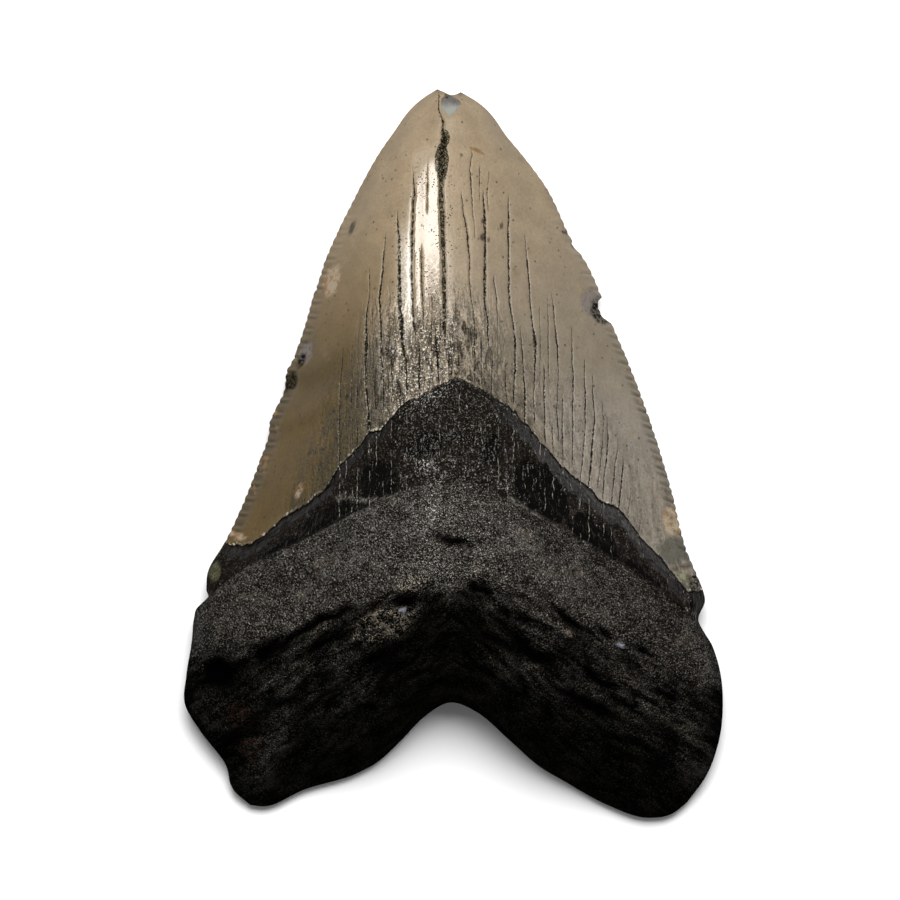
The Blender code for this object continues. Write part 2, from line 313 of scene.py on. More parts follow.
@dataclass(frozen=True)
class Chip(Oval):
    """The scar of a lost flake, which shows what is under it, or a patch of another colour."""

    depth: float
    look: Mask
    seed: float

    def nearness(self, x: Array, y: Array) -> Array:
        """Return 1 inside the scar and 0 outside, with a ragged rim.

        Args:
            x: Places across the tooth.
            y: Places along the tooth.

        Returns:
            Numbers from 0 to 1.
        """
        spread = np.hypot(*self.shares(x, y))
        near = spread < 2.0
        ragged = np.zeros_like(x)
        ragged[near] = 0.22 * lumps(x[near], y[near], 0.9, self.seed)
        return smooth_step(1.12, 0.82, spread + ragged)


@dataclass(frozen=True)
class Crack:
    """A dark split in the enamel: (x, y, width) at points from its top down."""

    points: tuple[tuple[float, float, float], ...]

    def x_at(self, y: Array) -> Array:
        """Return where the crack crosses heights y. It runs straight on past its ends."""
        rising = self.points[::-1]
        return np.interp(y, [point[1] for point in rising], [point[0] for point in rising])

    def width_at(self, y: Array) -> Array:
        """Return how wide the crack is at heights y, with ends that taper away.

        Args:
            y: Heights along the tooth.

        Returns:
            The widths at these heights.
        """
        rising = self.points[::-1]
        ys = [rising[0][1] - 0.8] + [point[1] for point in rising] + [rising[-1][1] + 1.2]
        widths = [0.0] + [point[2] for point in rising] + [0.0]
        return np.interp(y, ys, widths)


@dataclass(frozen=True)
class CrackField:
    """Turns the list of cracks, from left to right, into two values for each point.

    The count rises by 1 from each crack to the next and is whole on a crack, so it stays
    straight between the mesh's points and a crack can be far thinner than the mesh.
    """

    cracks: tuple[Crack, ...]
    least_gap: float = 0.45
    reach: float = 0.42
    wander: float = 0.10

    def places(self, y: Array) -> Array:
        """Return the x of every crack at heights y, in order, one row for each crack.

        Args:
            y: Heights along the tooth.

        Returns:
            A table with a row for each crack and a column for each height.
        """
        ways = []
        for number, crack in enumerate(self.cracks):
            wander = self.wander * lumps(y, y * 0.0, 2.4, 3.1 * number)
            wander += 0.4 * self.wander * lumps(y, y * 0.0, 0.7, 7.7 * number)
            ways.append(crack.x_at(y) + wander - self.least_gap * number)
        order = np.arange(len(self.cracks))[:, None] * self.least_gap
        return np.maximum.accumulate(np.array(ways), axis=0) + order

    def measure(self, x: Array, y: Array) -> tuple[Array, Array, Array]:
        """Measure places against the cracks.

        Args:
            x: Places across the tooth.
            y: Places along the tooth.

        Returns:
            The count, the nearest crack's width, and the distance to it.
        """
        levels = np.linspace(float(y.min()), float(y.max()), 900)
        table = self.places(levels)
        ways = np.array([np.interp(y, levels, row) for row in table])
        before = np.sum(ways <= x, axis=0) - 1
        index = np.arange(len(x))
        low = np.clip(before, 0, len(self.cracks) - 1)
        high = np.clip(before + 1, 0, len(self.cracks) - 1)
        from_low = np.abs(x - ways[low, index])
        from_high = np.abs(ways[high, index] - x)
        count = self.count(before, from_low, from_high)
        nearest = np.where(from_low < from_high, low, high)
        widths = np.array([crack.width_at(y) for crack in self.cracks])
        swell = 1.0 + 0.5 * lumps(y, nearest * 9.3, 1.3, 83.0)
        return count, widths[nearest, index] * swell, np.minimum(from_low, from_high)

    def count(self, before: Array, from_low: Array, from_high: Array) -> Array:
        """Return the count: straight near each crack, and steeper midway between two.

        Args:
            before: Number of the crack to the left of each place, or -1.
            from_low: Distance to the crack on the left.
            from_high: Distance to the crack on the right.

        Returns:
            The count at each place.
        """
        gap = from_low + from_high
        near = np.minimum(self.reach, 0.4 * gap)
        middle = np.clip((from_low - near) / np.maximum(gap - 2.0 * near, 1e-6), 0.0, 1.0)
        inner = near / CRACK_SPACING + middle * (1.0 - 2.0 * near / CRACK_SPACING)
        part = np.where(from_low < near, from_low / CRACK_SPACING, inner)
        part = np.where(from_high < near, 1.0 - from_high / CRACK_SPACING, part)
        left_end = -np.minimum(from_low / CRACK_SPACING, 0.49)
        right_end = np.minimum(from_low / CRACK_SPACING, 0.49)
        part = np.where(before < 0, 1.0 + left_end, part)
        last = before == len(self.cracks) - 1
        return before + np.where(last, right_end, part)


@dataclass(frozen=True)
class ToothPlan:
    """The plan of the tooth: its two sides, and the lines that its grid rows follow."""

    left_side: tuple[Point, ...] = (
        (-28.5, -49.2), (-30.6, -47.4), (-32.0, -43.4), (-35.5, -38.7), (-37.6, -35.0),
        (-37.4, -31.0), (-36.6, -26.0), (-36.3, -22.9), (-35.9, -21.5), (-35.4, -21.0), (-34.7, -20.6),
        (-34.6, -18.8), (-34.4, -16.5),
        (-32.1, -12.4), (-27.2, -0.9), (-25.9, 3.0), (-25.8, 4.5), (-25.1, 6.1), (-23.7, 9.2),
        (-23.5, 11.3), (-21.8, 15.3), (-18.4, 26.3), (-14.2, 35.4),
        (-8.8, 44.6), (-3.9, 50.2), (-2.3, 51.2),
    )
    right_side: tuple[Point, ...] = (
        (32.8, -48.8), (35.3, -45.3), (37.1, -40.5), (37.7, -35.5), (36.8, -28.4), (36.1, -26.5),
        (35.1, -24.9), (34.3, -23.3), (35.2, -20.4), (34.4, -17.6), (32.8, -13.8),
        (30.5, -4.8), (27.5, 5.0), (23.9, 14.5), (22.3, 18.2), (21.0, 21.6), (20.1, 23.9),
        (18.7, 26.8), (16.9, 29.6), (13.0, 37.5),
        (7.8, 44.2), (2.6, 49.9), (1.0, 50.8),
    )
    base: tuple[Point, ...] = (
        (-28.5, -49.2), (-26.6, -49.4), (-21.1, -47.1), (-13.0, -44.5), (-10.7, -43.2),
        (-7.5, -40.3), (-4.2, -36.9), (-0.5, -34.8), (3.2, -36.1), (8.1, -40.3),
        (11.8, -43.6), (15.6, -45.9), (21.6, -49.2), (27.5, -51.0), (30.9, -50.3),
        (32.8, -48.8),
    )
    crest: tuple[Point, ...] = (
        (-37.0, -28.5), (-29.0, -27.2), (-22.9, -24.9), (-10.3, -20.1), (-0.5, -18.4),
        (10.7, -20.7), (23.3, -27.4), (29.6, -30.5), (37.2, -32.1),
    )
    neck: tuple[Point, ...] = (
        (-35.6, -21.1), (-31.3, -17.2), (-20.7, -11.7), (-9.2, -6.0), (0.0, -3.6),
        (8.6, -6.8), (20.2, -13.2), (28.9, -18.7), (34.4, -23.5),
    )
    enamel_foot: tuple[Point, ...] = (
        (-32.1, -12.4), (-28.5, -12.3), (-21.6, -7.6), (-14.9, -1.5), (-10.4, 3.0),
        (-6.7, 7.5), (0.5, 10.6), (7.1, 7.4), (11.6, 2.2), (18.8, -4.4), (22.8, -7.4),
        (28.4, -14.2), (34.4, -17.6),
    )
    tip: tuple[Point, ...] = ((-2.3, 51.2), (-1.3, 50.8), (-0.4, 50.4), (0.4, 50.5), (1.0, 50.8))
    ragged_foot: tuple[Point, ...] = (
        (-31.9, -12.5), (-29.9, -12.7), (-28.1, -12.3), (-26.1, -11.1), (-24.2, -9.0),
        (-21.6, -7.6), (-19.7, -6.2), (-17.4, -4.4), (-16.7, -2.7), (-14.8, -0.5),
        (-12.8, 1.5), (-11.7, 3.2), (-10.0, 3.4), (-8.5, 5.4), (-6.5, 7.4), (-4.8, 7.9),
        (-2.6, 9.3), (0.6, 10.7), (2.5, 9.7), (4.4, 8.9), (6.5, 7.4), (7.6, 6.8),
        (9.5, 4.8), (11.8, 2.2), (14.8, -1.3), (16.3, -2.7), (18.7, -4.4), (20.2, -6.2),
        (22.9, -7.4), (24.9, -9.7), (26.1, -11.6), (28.8, -14.2), (30.9, -16.9),
        (32.7, -19.1),
    )
    crown_arch_fade: float = 0.8
    serrations: int = 60
    serration_depth: float = 0.30
    right_wear_shift: float = 37.0
    margin: float = 0.05
    notches: tuple[Notch, ...] = (
        Notch(Side.RIGHT, 20.2, 1.8, 1.05),
        Notch(Side.RIGHT, 29.2, 0.6, 0.35),
        Notch(Side.LEFT, 13.4, 1.2, 0.2),
        Notch(Side.LEFT, 24.6, 2.0, 0.15),
    )

    @property
    def lines(self) -> tuple[tuple[Point, ...], ...]:
        """Return the lines that the rows follow, from the base to the tip."""
        return (self.base, self.crest, self.neck, self.enamel_foot, self.tip)

    def side(self, station: Array, side: Side) -> tuple[Array, Array]:
        """Return the x and y at which the rows of stations meet a side.

        Args:
            station: Stations of the rows.
            side: Which side of the tooth.

        Returns:
            The x and y of the side at each station.
        """
        y = np.interp(station, STATIONS, [line[side.value][1] for line in self.lines])
        outline = self.left_side if side is Side.LEFT else self.right_side
        return smooth_curve(swapped(outline))(y), y

    def row_arch(self, line: tuple[Point, ...], u: Array) -> Array:
        """Return how far a row line stands above the straight line between its ends.

        Args:
            line: Corners of the row line.
            u: Places along the rows, from 0 at the left side to 1 at the right side.

        Returns:
            Heights above the straight line.
        """
        (start_x, start_y), (end_x, end_y) = line[0], line[-1]
        y = smooth_curve(line)(start_x + (end_x - start_x) * u)
        return y - (start_y + (end_y - start_y) * u)

    def arch(self, u: Array, station: Array) -> Array:
        """Return the arch of rows, blended from the two lines beside each.

        Args:
            u: Places along the rows, from 0 at the left side to 1 at the right side.
            station: Stations of the rows.

        Returns:
            Heights of the rows above the straight lines between their ends.
        """
        arches = np.array([self.row_arch(line, u) for line in self.lines])
        marks = np.array(STATIONS)
        first = np.clip(np.searchsorted(marks, station) - 1, 0, len(marks) - 2)
        part = (station - marks[first]) / (marks[first + 1] - marks[first])
        part = np.where(station > FOOT, part**self.crown_arch_fade, part)
        place = np.arange(len(u))
        return arches[first, place] * (1.0 - part) + arches[first + 1, place] * part

    def serration_phase(self, station: Array) -> Array:
        """Return the count of serrations from the crown's foot."""
        return (station - FOOT) / (TIP - FOOT) * self.serrations

    def serration_cut(self, station: Array, side: Side) -> Array:
        """Return how deep a cutting edge is cut at stations: 0 on a serration's point.

        Args:
            station: Stations of the edge.
            side: Which side of the tooth.

        Returns:
            Depths of the cut.
        """
        shift = 0.0 if side is Side.LEFT else self.right_wear_shift
        phase = self.serration_phase(station)
        wave = np.abs(np.sin(math.pi * (phase + 0.5))) ** 0.8
        beat = np.floor(phase + 0.501) + shift
        wear = 0.62 + 0.38 * np.sin(beat * 12.9898) * np.sin(beat * 4.1)
        on_crown = (station > FOOT) & (station < TIP)
        near_tip = smooth_step(TIP, 5.6, station)
        return np.where(on_crown, (1.0 - wave) * wear * self.serration_depth * near_tip, 0.0)

    def notch_cut(self, side: Side, y: Array) -> Array:
        """Return how deep the notches cut into one cutting edge.

        Args:
            side: Which side of the tooth.
            y: Heights along the edge.

        Returns:
            Depths of the cut.
        """
        cut = np.zeros_like(y)
        for notch in self.notches:
            if notch.side is side:
                nearness = np.clip(1.0 - ((y - notch.y) / notch.half_length) ** 2, 0.0, 1.0)
                cut = np.maximum(cut, notch.depth * np.sqrt(nearness))
        return cut

    def foot_y(self, x: Array) -> Array:
        """Return the y of the enamel's real, stepped foot.

        Args:
            x: Places across the tooth.

        Returns:
            The y of the foot above or below each place.
        """
        xs = [point[0] for point in self.ragged_foot]
        ys = [point[1] for point in self.ragged_foot]
        teeth = 0.34 * lumps(x, x * 0.0, 0.9, 41.0) + 0.20 * lumps(x, x * 0.0, 0.4, 43.0)
        return np.interp(x, xs, ys) + teeth

    def ragged_shift(self, x: Array) -> Array:
        """Return how far the enamel's real, stepped foot is above its smooth line."""
        return self.foot_y(x) - smooth_curve(self.enamel_foot)(x)

    def places(self, u: Array, station: Array, face: Face) -> tuple[Array, Array]:
        """Return the x and y of grid places.

        Args:
            u: Places along the rows, from 0 at the left side to 1 at the right side.
            station: Stations of the rows.
            face: The face that the grid makes.

        Returns:
            The x and y of each place.
        """
        left_x, left_y = self.side(station, Side.LEFT)
        right_x, right_y = self.side(station, Side.RIGHT)
        left_cut = self.serration_cut(station, Side.LEFT) + self.notch_cut(Side.LEFT, left_y)
        right_cut = self.serration_cut(station, Side.RIGHT) + self.notch_cut(Side.RIGHT, right_y)
        x = left_x + (right_x - left_x) * u
        x += left_cut * smooth_step(self.margin, 0.0, u)
        x -= right_cut * smooth_step(self.margin, 0.0, 1.0 - u)
        y = left_y + (right_y - left_y) * u + self.arch(u, station)
        if face is Face.LINGUAL:
            inner = smooth_step(0.0, 0.04, u) * smooth_step(0.0, 0.04, 1.0 - u)
            y += self.ragged_shift(x) * bell(station - FOOT, 0.14) * inner
        return x, y


@dataclass(frozen=True)
class CrestStrip:
    """The nearly level strip along the crest of the crown, between two of its cracks."""

    middle: float = -3.65
    half_width: float = 1.95
    fall: float = 0.03
    left_fall: float = 0.05
    right_fall: float = 0.42

    def dome(self, u: Array, left_x: Array, right_x: Array) -> Array:
        """Return the crown's cross-section: 1 on the crest and 0 at the edges.

        Args:
            u: Places along the rows, from 0 to 1.
            left_x: The left edge beside each place.
            right_x: The right edge beside each place.

        Returns:
            Shares of the crown's rise.
        """
        width = right_x - left_x
        x = left_x + width * u
        broad = smooth_step(4.0, 16.0, width)
        flat_top = smooth_step(13.0, 24.0, width)
        middle = self.middle * broad + 0.5 * (left_x + right_x) * (1.0 - broad)
        half = self.half_width * smooth_step(1.0, 14.0, width)
        along = np.clip((x - middle + half) / np.maximum(2.0 * half, 1e-6), 0.0, 1.0)
        left = np.clip((middle - half - x) / np.maximum(middle - half - left_x, 1e-6), 0.0, 1.0)
        right = np.clip((x - middle - half) / np.maximum(right_x - middle - half, 1e-6), 0.0, 1.0)
        left_drop = self.left_fall * left + (1.0 - self.left_fall) * left**2
        right_drop = self.right_fall * right + (1.0 - self.fall - self.right_fall) * right**2
        creased = 1.0 - self.fall * along - left_drop - right_drop
        return creased * flat_top + (1.0 - (2.0 * u - 1.0) ** 2) * (1.0 - flat_top)


@dataclass(frozen=True)
class ToothRelief:
    """What stands out of the tooth's faces or is sunk into them."""

    grooves: tuple[Groove, ...] = (
        Groove(((-9.4, -20.5), (-7.0, -20.2), (-4.2, -20.3)), 0.55, 1.5),
        Groove(((-11.4, -20.6), (-15.2, -21.8), (-18.0, -22.8), (-21.5, -24.9), (-24.6, -26.9),
                (-28.4, -29.4)), 0.6, 1.3),
        Groove(((-9.4, -27.5), (-12.8, -29.1)), 0.7, 0.8),
        Groove(((-10.2, -35.1), (-12.8, -34.7)), 0.7, 0.6),
        Groove(((-14.5, -24.2), (-18.5, -26.2), (-22.0, -28.6)), 0.6, 0.6),
        Groove(((-3.2, -11.3), (0.0, -11.9), (3.2, -12.5)), 0.38, 1.5),
        Groove(((1.4, -17.6), (3.4, -18.6), (4.8, -19.4)), 0.6, 1.0),
        Groove(((6.3, -20.9), (8.2, -22.9)), 0.45, 0.8),
        Groove(((12.4, -20.4), (14.2, -21.8), (16.0, -22.8), (17.8, -24.4), (19.6, -26.0)), 0.5, 1.3),
        Groove(((7.0, -23.7), (9.3, -26.0), (11.0, -27.7), (13.5, -28.4), (15.6, -27.9)), 0.75, 1.4),
        Groove(((14.4, -32.3), (17.7, -34.1), (20.5, -35.5), (23.6, -37.2)), 0.8, 1.1),
        Groove(((19.8, -23.6), (21.9, -25.5)), 0.45, 0.9),
        Groove(((24.8, -26.6), (27.4, -28.1)), 0.45, 0.9),
        Groove(((27.0, -32.0), (29.5, -33.5), (32.0, -34.6)), 0.5, 0.6),
        Groove(((16.5, -28.5), (20.5, -31.4), (24.5, -33.0)), 0.6, 0.6),
    )
    ridges: tuple[Groove, ...] = (
        Groove(((8.6, -29.2), (13.0, -31.0), (16.0, -33.0), (18.4, -34.4)), 0.5, -0.7),
        Groove(((8.0, -26.6), (10.4, -29.0), (14.4, -29.6)), 0.5, -0.5),
        Groove(((-9.8, -22.0), (-14.0, -23.2), (-19.0, -25.4)), 0.8, -0.6),
        Groove(((9.4, -21.4), (13.4, -23.8), (17.0, -26.4)), 0.8, -0.5),
        Groove(((21.5, -29.8), (25.8, -32.2), (28.6, -34.2)), 0.6, -0.5),
        Groove(((-29.6, -32.2), (-30.8, -35.2), (-29.4, -39.0)), 1.0, -0.5),
    )
    pits: tuple[Pit, ...] = (
        Pit(4.5, -18.8, 3.0, 2.4, -20.0, 1.5, 1.0),
        Pit(-32.6, -30.2, 6.4, 6.6, 60.0, 1.6, 1.3),
        Pit(-26.4, -27.8, 5.0, 3.4, 30.0, 0.9, 1.1),
        Pit(-0.4, -26.0, 11.0, 8.0, 0.0, 0.7, 0.3),
        Pit(11.5, -27.0, 5.0, 2.4, -35.0, 0.5, 0.5),
        Pit(22.0, -40.0, 9.0, 5.0, -40.0, 0.6, 0.1),
        Pit(-16.5, -38.0, 9.0, 5.0, 20.0, 0.5, 0.1),
    )
    nodules: tuple[Pit, ...] = (
        Pit(-33.6, -17.4, 5.5, 2.6, 80.0, -1.3),
        Pit(33.8, -20.9, 5.0, 3.0, 95.0, -1.7),
        Pit(32.0, -17.4, 3.4, 2.2, 20.0, -0.6),
    )
    chips: tuple[Chip, ...] = (
        Chip(-17.0, 24.4, 4.4, 2.4, 72.0, 0.30, Mask.PALE_CHIP, 1.0),
        Chip(-20.7, 14.2, 3.4, 2.0, 70.0, 0.40, Mask.GREY_CHIP, 2.0),
        Chip(-21.3, 13.2, 1.9, 1.1, 70.0, 0.50, Mask.DARK_CHIP, 2.5),
        Chip(-22.9, 10.2, 3.0, 1.9, 70.0, 0.55, Mask.DARK_CHIP, 3.0),
        Chip(19.7, 20.9, 4.6, 3.4, -62.0, 0.20, Mask.GREY_CHIP, 4.0),
        Chip(20.4, 19.9, 3.7, 2.2, -68.0, 0.60, Mask.DARK_CHIP, 5.0),
        Chip(-0.5, 48.9, 3.0, 2.7, 80.0, 0.55, Mask.SHELL_CHIP, 6.0),
        Chip(-0.9, 50.2, 0.9, 0.7, 0.0, 0.20, Mask.DARK_CHIP, 6.5),
        Chip(30.5, -9.4, 4.0, 2.6, -75.0, 0.25, Mask.PALE_CHIP, 7.0),
        Chip(30.6, -13.4, 4.2, 4.0, -60.0, 0.10, Mask.GREY_CHIP, 7.5),
        Chip(31.9, -17.6, 3.6, 2.6, -40.0, 0.15, Mask.SHELL_CHIP, 7.7),
        Chip(31.4, -15.9, 3.4, 0.7, 22.0, 0.12, Mask.STAIN, 7.8),
        Chip(34.4, -18.6, 4.8, 2.9, -52.0, 0.05, Mask.DARK_CHIP, 7.9),
        Chip(-30.3, -11.3, 2.8, 0.9, -25.0, 0.05, Mask.PALE_CHIP, 8.5),
        Chip(-21.5, -5.0, 2.1, 0.8, 82.0, 0.05, Mask.PALE_CHIP, 8.0),
        Chip(-1.6, 40.9, 5.4, 2.0, 90.0, 0.06, Mask.TAR, 9.0),
        Chip(-1.2, 43.9, 3.0, 1.3, 76.0, 0.05, Mask.TAR, 9.2),
        Chip(4.1, 32.5, 0.8, 0.6, 90.0, 0.06, Mask.STAIN, 10.0),
        Chip(4.1, 30.2, 1.1, 0.8, 90.0, 0.08, Mask.STAIN, 11.0),
        Chip(4.9, 29.9, 0.7, 0.5, 90.0, 0.05, Mask.STAIN, 12.0),
        Chip(6.7, 31.9, 1.0, 0.5, 80.0, 0.05, Mask.STAIN, 13.0),
        Chip(2.5, 39.1, 0.6, 0.4, 0.0, 0.05, Mask.STAIN, 14.0),
        Chip(1.1, 41.7, 0.5, 0.4, 0.0, 0.04, Mask.STAIN, 15.0),
        Chip(16.8, 29.2, 0.9, 0.5, -60.0, 0.10, Mask.STAIN, 16.0),
        Chip(15.6, 31.2, 0.8, 0.6, 0.0, 0.04, Mask.STAIN, 17.0),
        Chip(-14.2, 31.7, 2.4, 0.7, 70.0, 0.04, Mask.STAIN, 18.0),
        Chip(3.3, 42.4, 2.4, 0.5, -22.0, 0.0, Mask.RUST, 19.0),
        Chip(-25.1, 5.9, 1.2, 0.9, 60.0, 0.05, Mask.RUST, 24.0),
        Chip(-26.2, -0.4, 1.1, 0.8, 60.0, 0.05, Mask.RUST, 25.0),
        Chip(0.4, 14.9, 2.2, 1.3, 40.0, 0.20, Mask.STAIN, 20.0),
        Chip(-10.6, 7.2, 0.9, 0.5, 90.0, 0.10, Mask.STAIN, 21.0),
        Chip(11.3, 15.6, 1.6, 0.6, 90.0, 0.10, Mask.STAIN, 22.0),
        Chip(14.5, 6.6, 0.8, 0.4, 80.0, 0.04, Mask.STAIN, 23.0),
    )
    root_patches: tuple[Chip, ...] = (
        Chip(-9.6, -23.3, 8.8, 4.4, 22.0, -0.15, Mask.EARTH, 30.0),
        Chip(-19.0, -23.9, 5.0, 1.4, 25.0, -0.10, Mask.EARTH, 31.0),
        Chip(-5.8, -17.8, 5.0, 2.2, 15.0, 0.0, Mask.EARTH, 32.0),
        Chip(15.6, -24.2, 3.0, 0.8, -40.0, -0.10, Mask.EARTH, 33.0),
        Chip(10.6, -29.2, 2.4, 0.8, -25.0, -0.10, Mask.EARTH, 34.0),
        Chip(-33.4, -16.4, 2.6, 1.8, 80.0, 0.0, Mask.EARTH, 39.0),
        Chip(-29.0, -38.6, 10.0, 4.0, -70.0, 0.0, Mask.RED_EARTH, 35.0),
        Chip(-27.2, -36.8, 2.0, 1.2, 0.0, 0.0, Mask.RED_EARTH, 36.0),
        Chip(23.1, -26.3, 1.1, 0.7, -30.0, -0.10, Mask.PALE_CHIP, 37.0),
        Chip(-7.1, -21.4, 1.0, 0.6, 0.0, -0.10, Mask.PALE_CHIP, 37.5),
        Chip(3.4, -15.9, 1.6, 0.9, 20.0, -0.05, Mask.EARTH, 38.0),
    )
    flakes: tuple[Spot, ...] = (
        Spot(-15.2, -8.5, 13.0, 5.0, 26.0),
        Spot(-10.6, -3.6, 6.4, 6.0, 20.0),
        Spot(-4.0, 0.9, 5.6, 3.0, 0.0),
        Spot(5.0, 0.6, 3.0, 4.6, 0.0),
        Spot(-0.4, 2.4, 13.0, 1.0, -3.0),
        Spot(12.1, -5.2, 12.5, 6.4, -50.0),
        Spot(19.4, -11.4, 11.0, 4.2, -42.0),
        Spot(26.4, -17.0, 7.0, 2.6, -40.0),
        Spot(-24.5, -13.4, 7.5, 2.4, 30.0),
        Spot(34.4, -20.6, 3.4, 4.4, 0.0),
    )
    # Places that sparkle: more sheen, and painted glints in the colour.
    sparks: tuple[Spot, ...] = (
        Spot(-3.0, -6.6, 3.6, 6.0, 0.0, 0.8),
        Spot(-2.6, -8.1, 4.2, 4.4, -20.0, 1.0),
        Spot(-2.4, -11.0, 24.0, 15.0, 0.0, 0.32),
        Spot(-3.2, -14.6, 7.0, 4.6, -35.0, 0.7),
        Spot(-4.2, -0.6, 3.2, 5.2, 0.0, 0.9),
        Spot(7.0, -4.0, 5.0, 4.0, 0.0, 0.3),
        Spot(-3.4, 8.0, 7.4, 2.4, 28.0, 0.9),
        Spot(-3.6, -1.4, 2.6, 3.6, 0.0, 0.9),
    )
    seams: tuple[Groove, ...] = (
        Groove(((-16.6, -6.0), (-14.0, -6.0), (-12.2, -6.4), (-10.4, -6.2), (-7.8, -5.6)), 0.16),
        Groove(((7.8, -6.0), (10.6, -8.0), (13.2, -9.6), (15.4, -10.4)), 0.22),
        Groove(((19.0, -13.8), (22.6, -16.6), (26.2, -19.4)), 0.14),
    )
    # Places on the lower root painted lighter, as if lit, through the upper mask.
    lit_zones: tuple[Spot, ...] = (
        Spot(-21.5, -30.5, 19.0, 7.0, 20.0, 0.55),
        Spot(-15.9, -33.2, 12.0, 6.5, 10.0, 0.35),
        Spot(-25.9, -40.6, 12.5, 5.0, 58.0, 0.50),
        Spot(-33.8, -35.5, 6.0, 7.0, 0.0, 0.30),
        Spot(26.2, -31.4, 21.0, 12.0, -38.0, 0.95),
        Spot(33.2, -38.6, 14.0, 8.0, -75.0, 0.60),
        Spot(20.6, -32.8, 13.0, 5.0, -40.0, 0.60),
        Spot(10.8, -30.6, 13.0, 4.0, -25.0, 0.40),
        Spot(11.0, -24.6, 10.0, 5.0, -35.0, 0.60),
    )
    cracks: tuple[Crack, ...] = tuple(map(Crack, (
        ((-15.4, 14.5, 0.14), (-15.8, 7.6, 0.2), (-15.8, -1.5, 0.18)),
        ((-14.9, 11.0, 0.1), (-14.9, 3.0, 0.1)),
        ((-14.1, 15.0, 0.12), (-14.2, 9.0, 0.14), (-14.0, 1.0, 0.12)),
        ((-13.2, 17.5, 0.1), (-13.4, 4.8, 0.14), (-13.3, 0.3, 0.2)),
        ((-11.7, 25.1, 0.14), (-11.7, 21.6, 0.18), (-12.1, 18.8, 0.24), (-12.1, 15.3, 0.5),
         (-12.2, 13.2, 0.4), (-12.1, 9.7, 0.2), (-11.8, 6.2, 0.3), (-11.7, 3.4, 0.6)),
        ((-11.3, 22.0, 0.1), (-11.1, 10.4, 0.12), (-10.7, 6.2, 0.2)),
        ((-9.4, 30.3, 0.12), (-9.7, 27.2, 0.24), (-10.1, 23.7, 0.34), (-10.3, 21.6, 0.3),
         (-10.1, 18.8, 0.3), (-10.0, 13.2, 0.3), (-9.7, 9.7, 0.22), (-9.7, 6.9, 0.2)),
        ((-8.7, 14.6, 0.14), (-8.5, 10.4, 0.2), (-8.6, 7.4, 0.2)),
        ((-7.8, 33.2, 0.14), (-7.6, 30.0, 0.44), (-7.5, 25.8, 0.56), (-7.5, 21.6, 0.62), (-7.3, 18.8, 0.8),
         (-7.1, 15.3, 0.6), (-6.6, 13.0, 0.42), (-6.4, 9.0, 0.3)),
        ((-5.7, 39.6, 0.1), (-5.4, 36.3, 0.36), (-5.7, 32.8, 0.48), (-5.8, 26.5, 0.46), (-5.7, 23.0, 0.5),
         (-5.5, 18.1, 0.6), (-5.2, 16.5, 0.1)),
        ((-5.4, 14.8, 0.3), (-5.1, 11.8, 0.6), (-4.9, 8.6, 0.5)),
        ((-4.5, 28.6, 0.12), (-4.5, 25.8, 0.22), (-4.3, 21.6, 0.22), (-4.1, 17.4, 0.14)),
        ((-3.6, 41.2, 0.06), (-3.7, 37.7, 0.14), (-3.7, 33.7, 0.12), (-3.6, 33.0, 0.0), (-3.1, 22.5, 0.0),
         (-3.0, 21.6, 0.14), (-3.0, 16.0, 0.16), (-3.1, 11.8, 0.14)),
        ((-2.5, 17.2, 0.2), (-2.3, 14.2, 0.4), (-2.0, 10.2, 0.34)),
        ((-2.5, 50.1, 0.20), (-2.5, 49.2, 0.26), (-1.9, 47.6, 0.30), (-1.5, 46.3, 0.36), (-1.6, 45.0, 0.5),
         (-1.2, 43.9, 0.7), (-1.6, 42.6, 0.8), (-1.6, 41.0, 1.0), (-1.8, 38.6, 0.8), (-1.7, 34.9, 0.72),
         (-1.5, 30.0, 0.66), (-1.3, 25.8, 0.74), (-1.2, 21.6, 0.84), (-1.2, 18.4, 0.7), (-1.1, 14.9, 0.2)),
        ((-0.7, 14.6, 0.36), (-0.6, 12.4, 0.34), (-0.6, 10.4, 0.22)),
        ((0.6, 14.6, 0.12), (0.8, 11.6, 0.18)),
        ((1.1, 36.3, 0.1), (1.3, 34.0, 0.2), (1.9, 30.7, 0.32), (2.2, 27.5, 0.24), (2.2, 24.4, 0.18),
         (2.5, 21.6, 0.14), (2.9, 18.1, 0.2), (2.9, 14.6, 0.26), (3.0, 10.0, 0.24)),
        ((2.6, 41.8, 0.16), (2.2, 39.8, 0.16), (2.5, 37.0, 0.22), (2.7, 33.5, 0.14), (3.0, 30.3, 0.1)),
        ((3.7, 40.1, 0.1), (3.6, 37.7, 0.14), (3.6, 35.6, 0.08), (3.7, 34.0, 0.0), (3.8, 16.5, 0.0),
         (3.8, 15.5, 0.14), (3.9, 9.8, 0.18)),
        ((4.1, 36.3, 0.14), (4.4, 32.8, 0.4), (4.4, 28.6, 0.3), (4.3, 24.4, 0.46), (4.3, 21.6, 0.4),
         (4.7, 18.8, 0.3), (4.8, 15.3, 0.2)),
        ((5.0, 39.0, 0.1), (4.7, 36.3, 0.14), (4.8, 34.2, 0.1), (4.9, 33.5, 0.0), (5.4, 13.5, 0.0),
         (5.4, 12.5, 0.18), (5.1, 8.8, 0.2)),
        ((5.5, 24.4, 0.14), (6.0, 21.6, 0.16), (6.1, 18.1, 0.12), (6.2, 12.0, 0.08)),
        ((7.2, 12.4, 0.1), (7.2, 9.7, 0.2), (7.4, 7.0, 0.22)),
        ((7.2, 35.9, 0.1), (6.8, 33.5, 0.26), (6.7, 32.0, 0.34), (7.1, 30.0, 0.28), (7.4, 27.2, 0.3),
         (7.6, 23.7, 0.36), (7.9, 20.9, 0.3), (8.3, 18.1, 0.22), (8.6, 15.3, 0.34), (8.5, 11.1, 0.3),
         (8.3, 7.6, 0.26)),
        ((9.3, 17.4, 0.12), (9.6, 13.2, 0.18), (9.9, 8.3, 0.26), (9.9, 4.1, 0.3)),
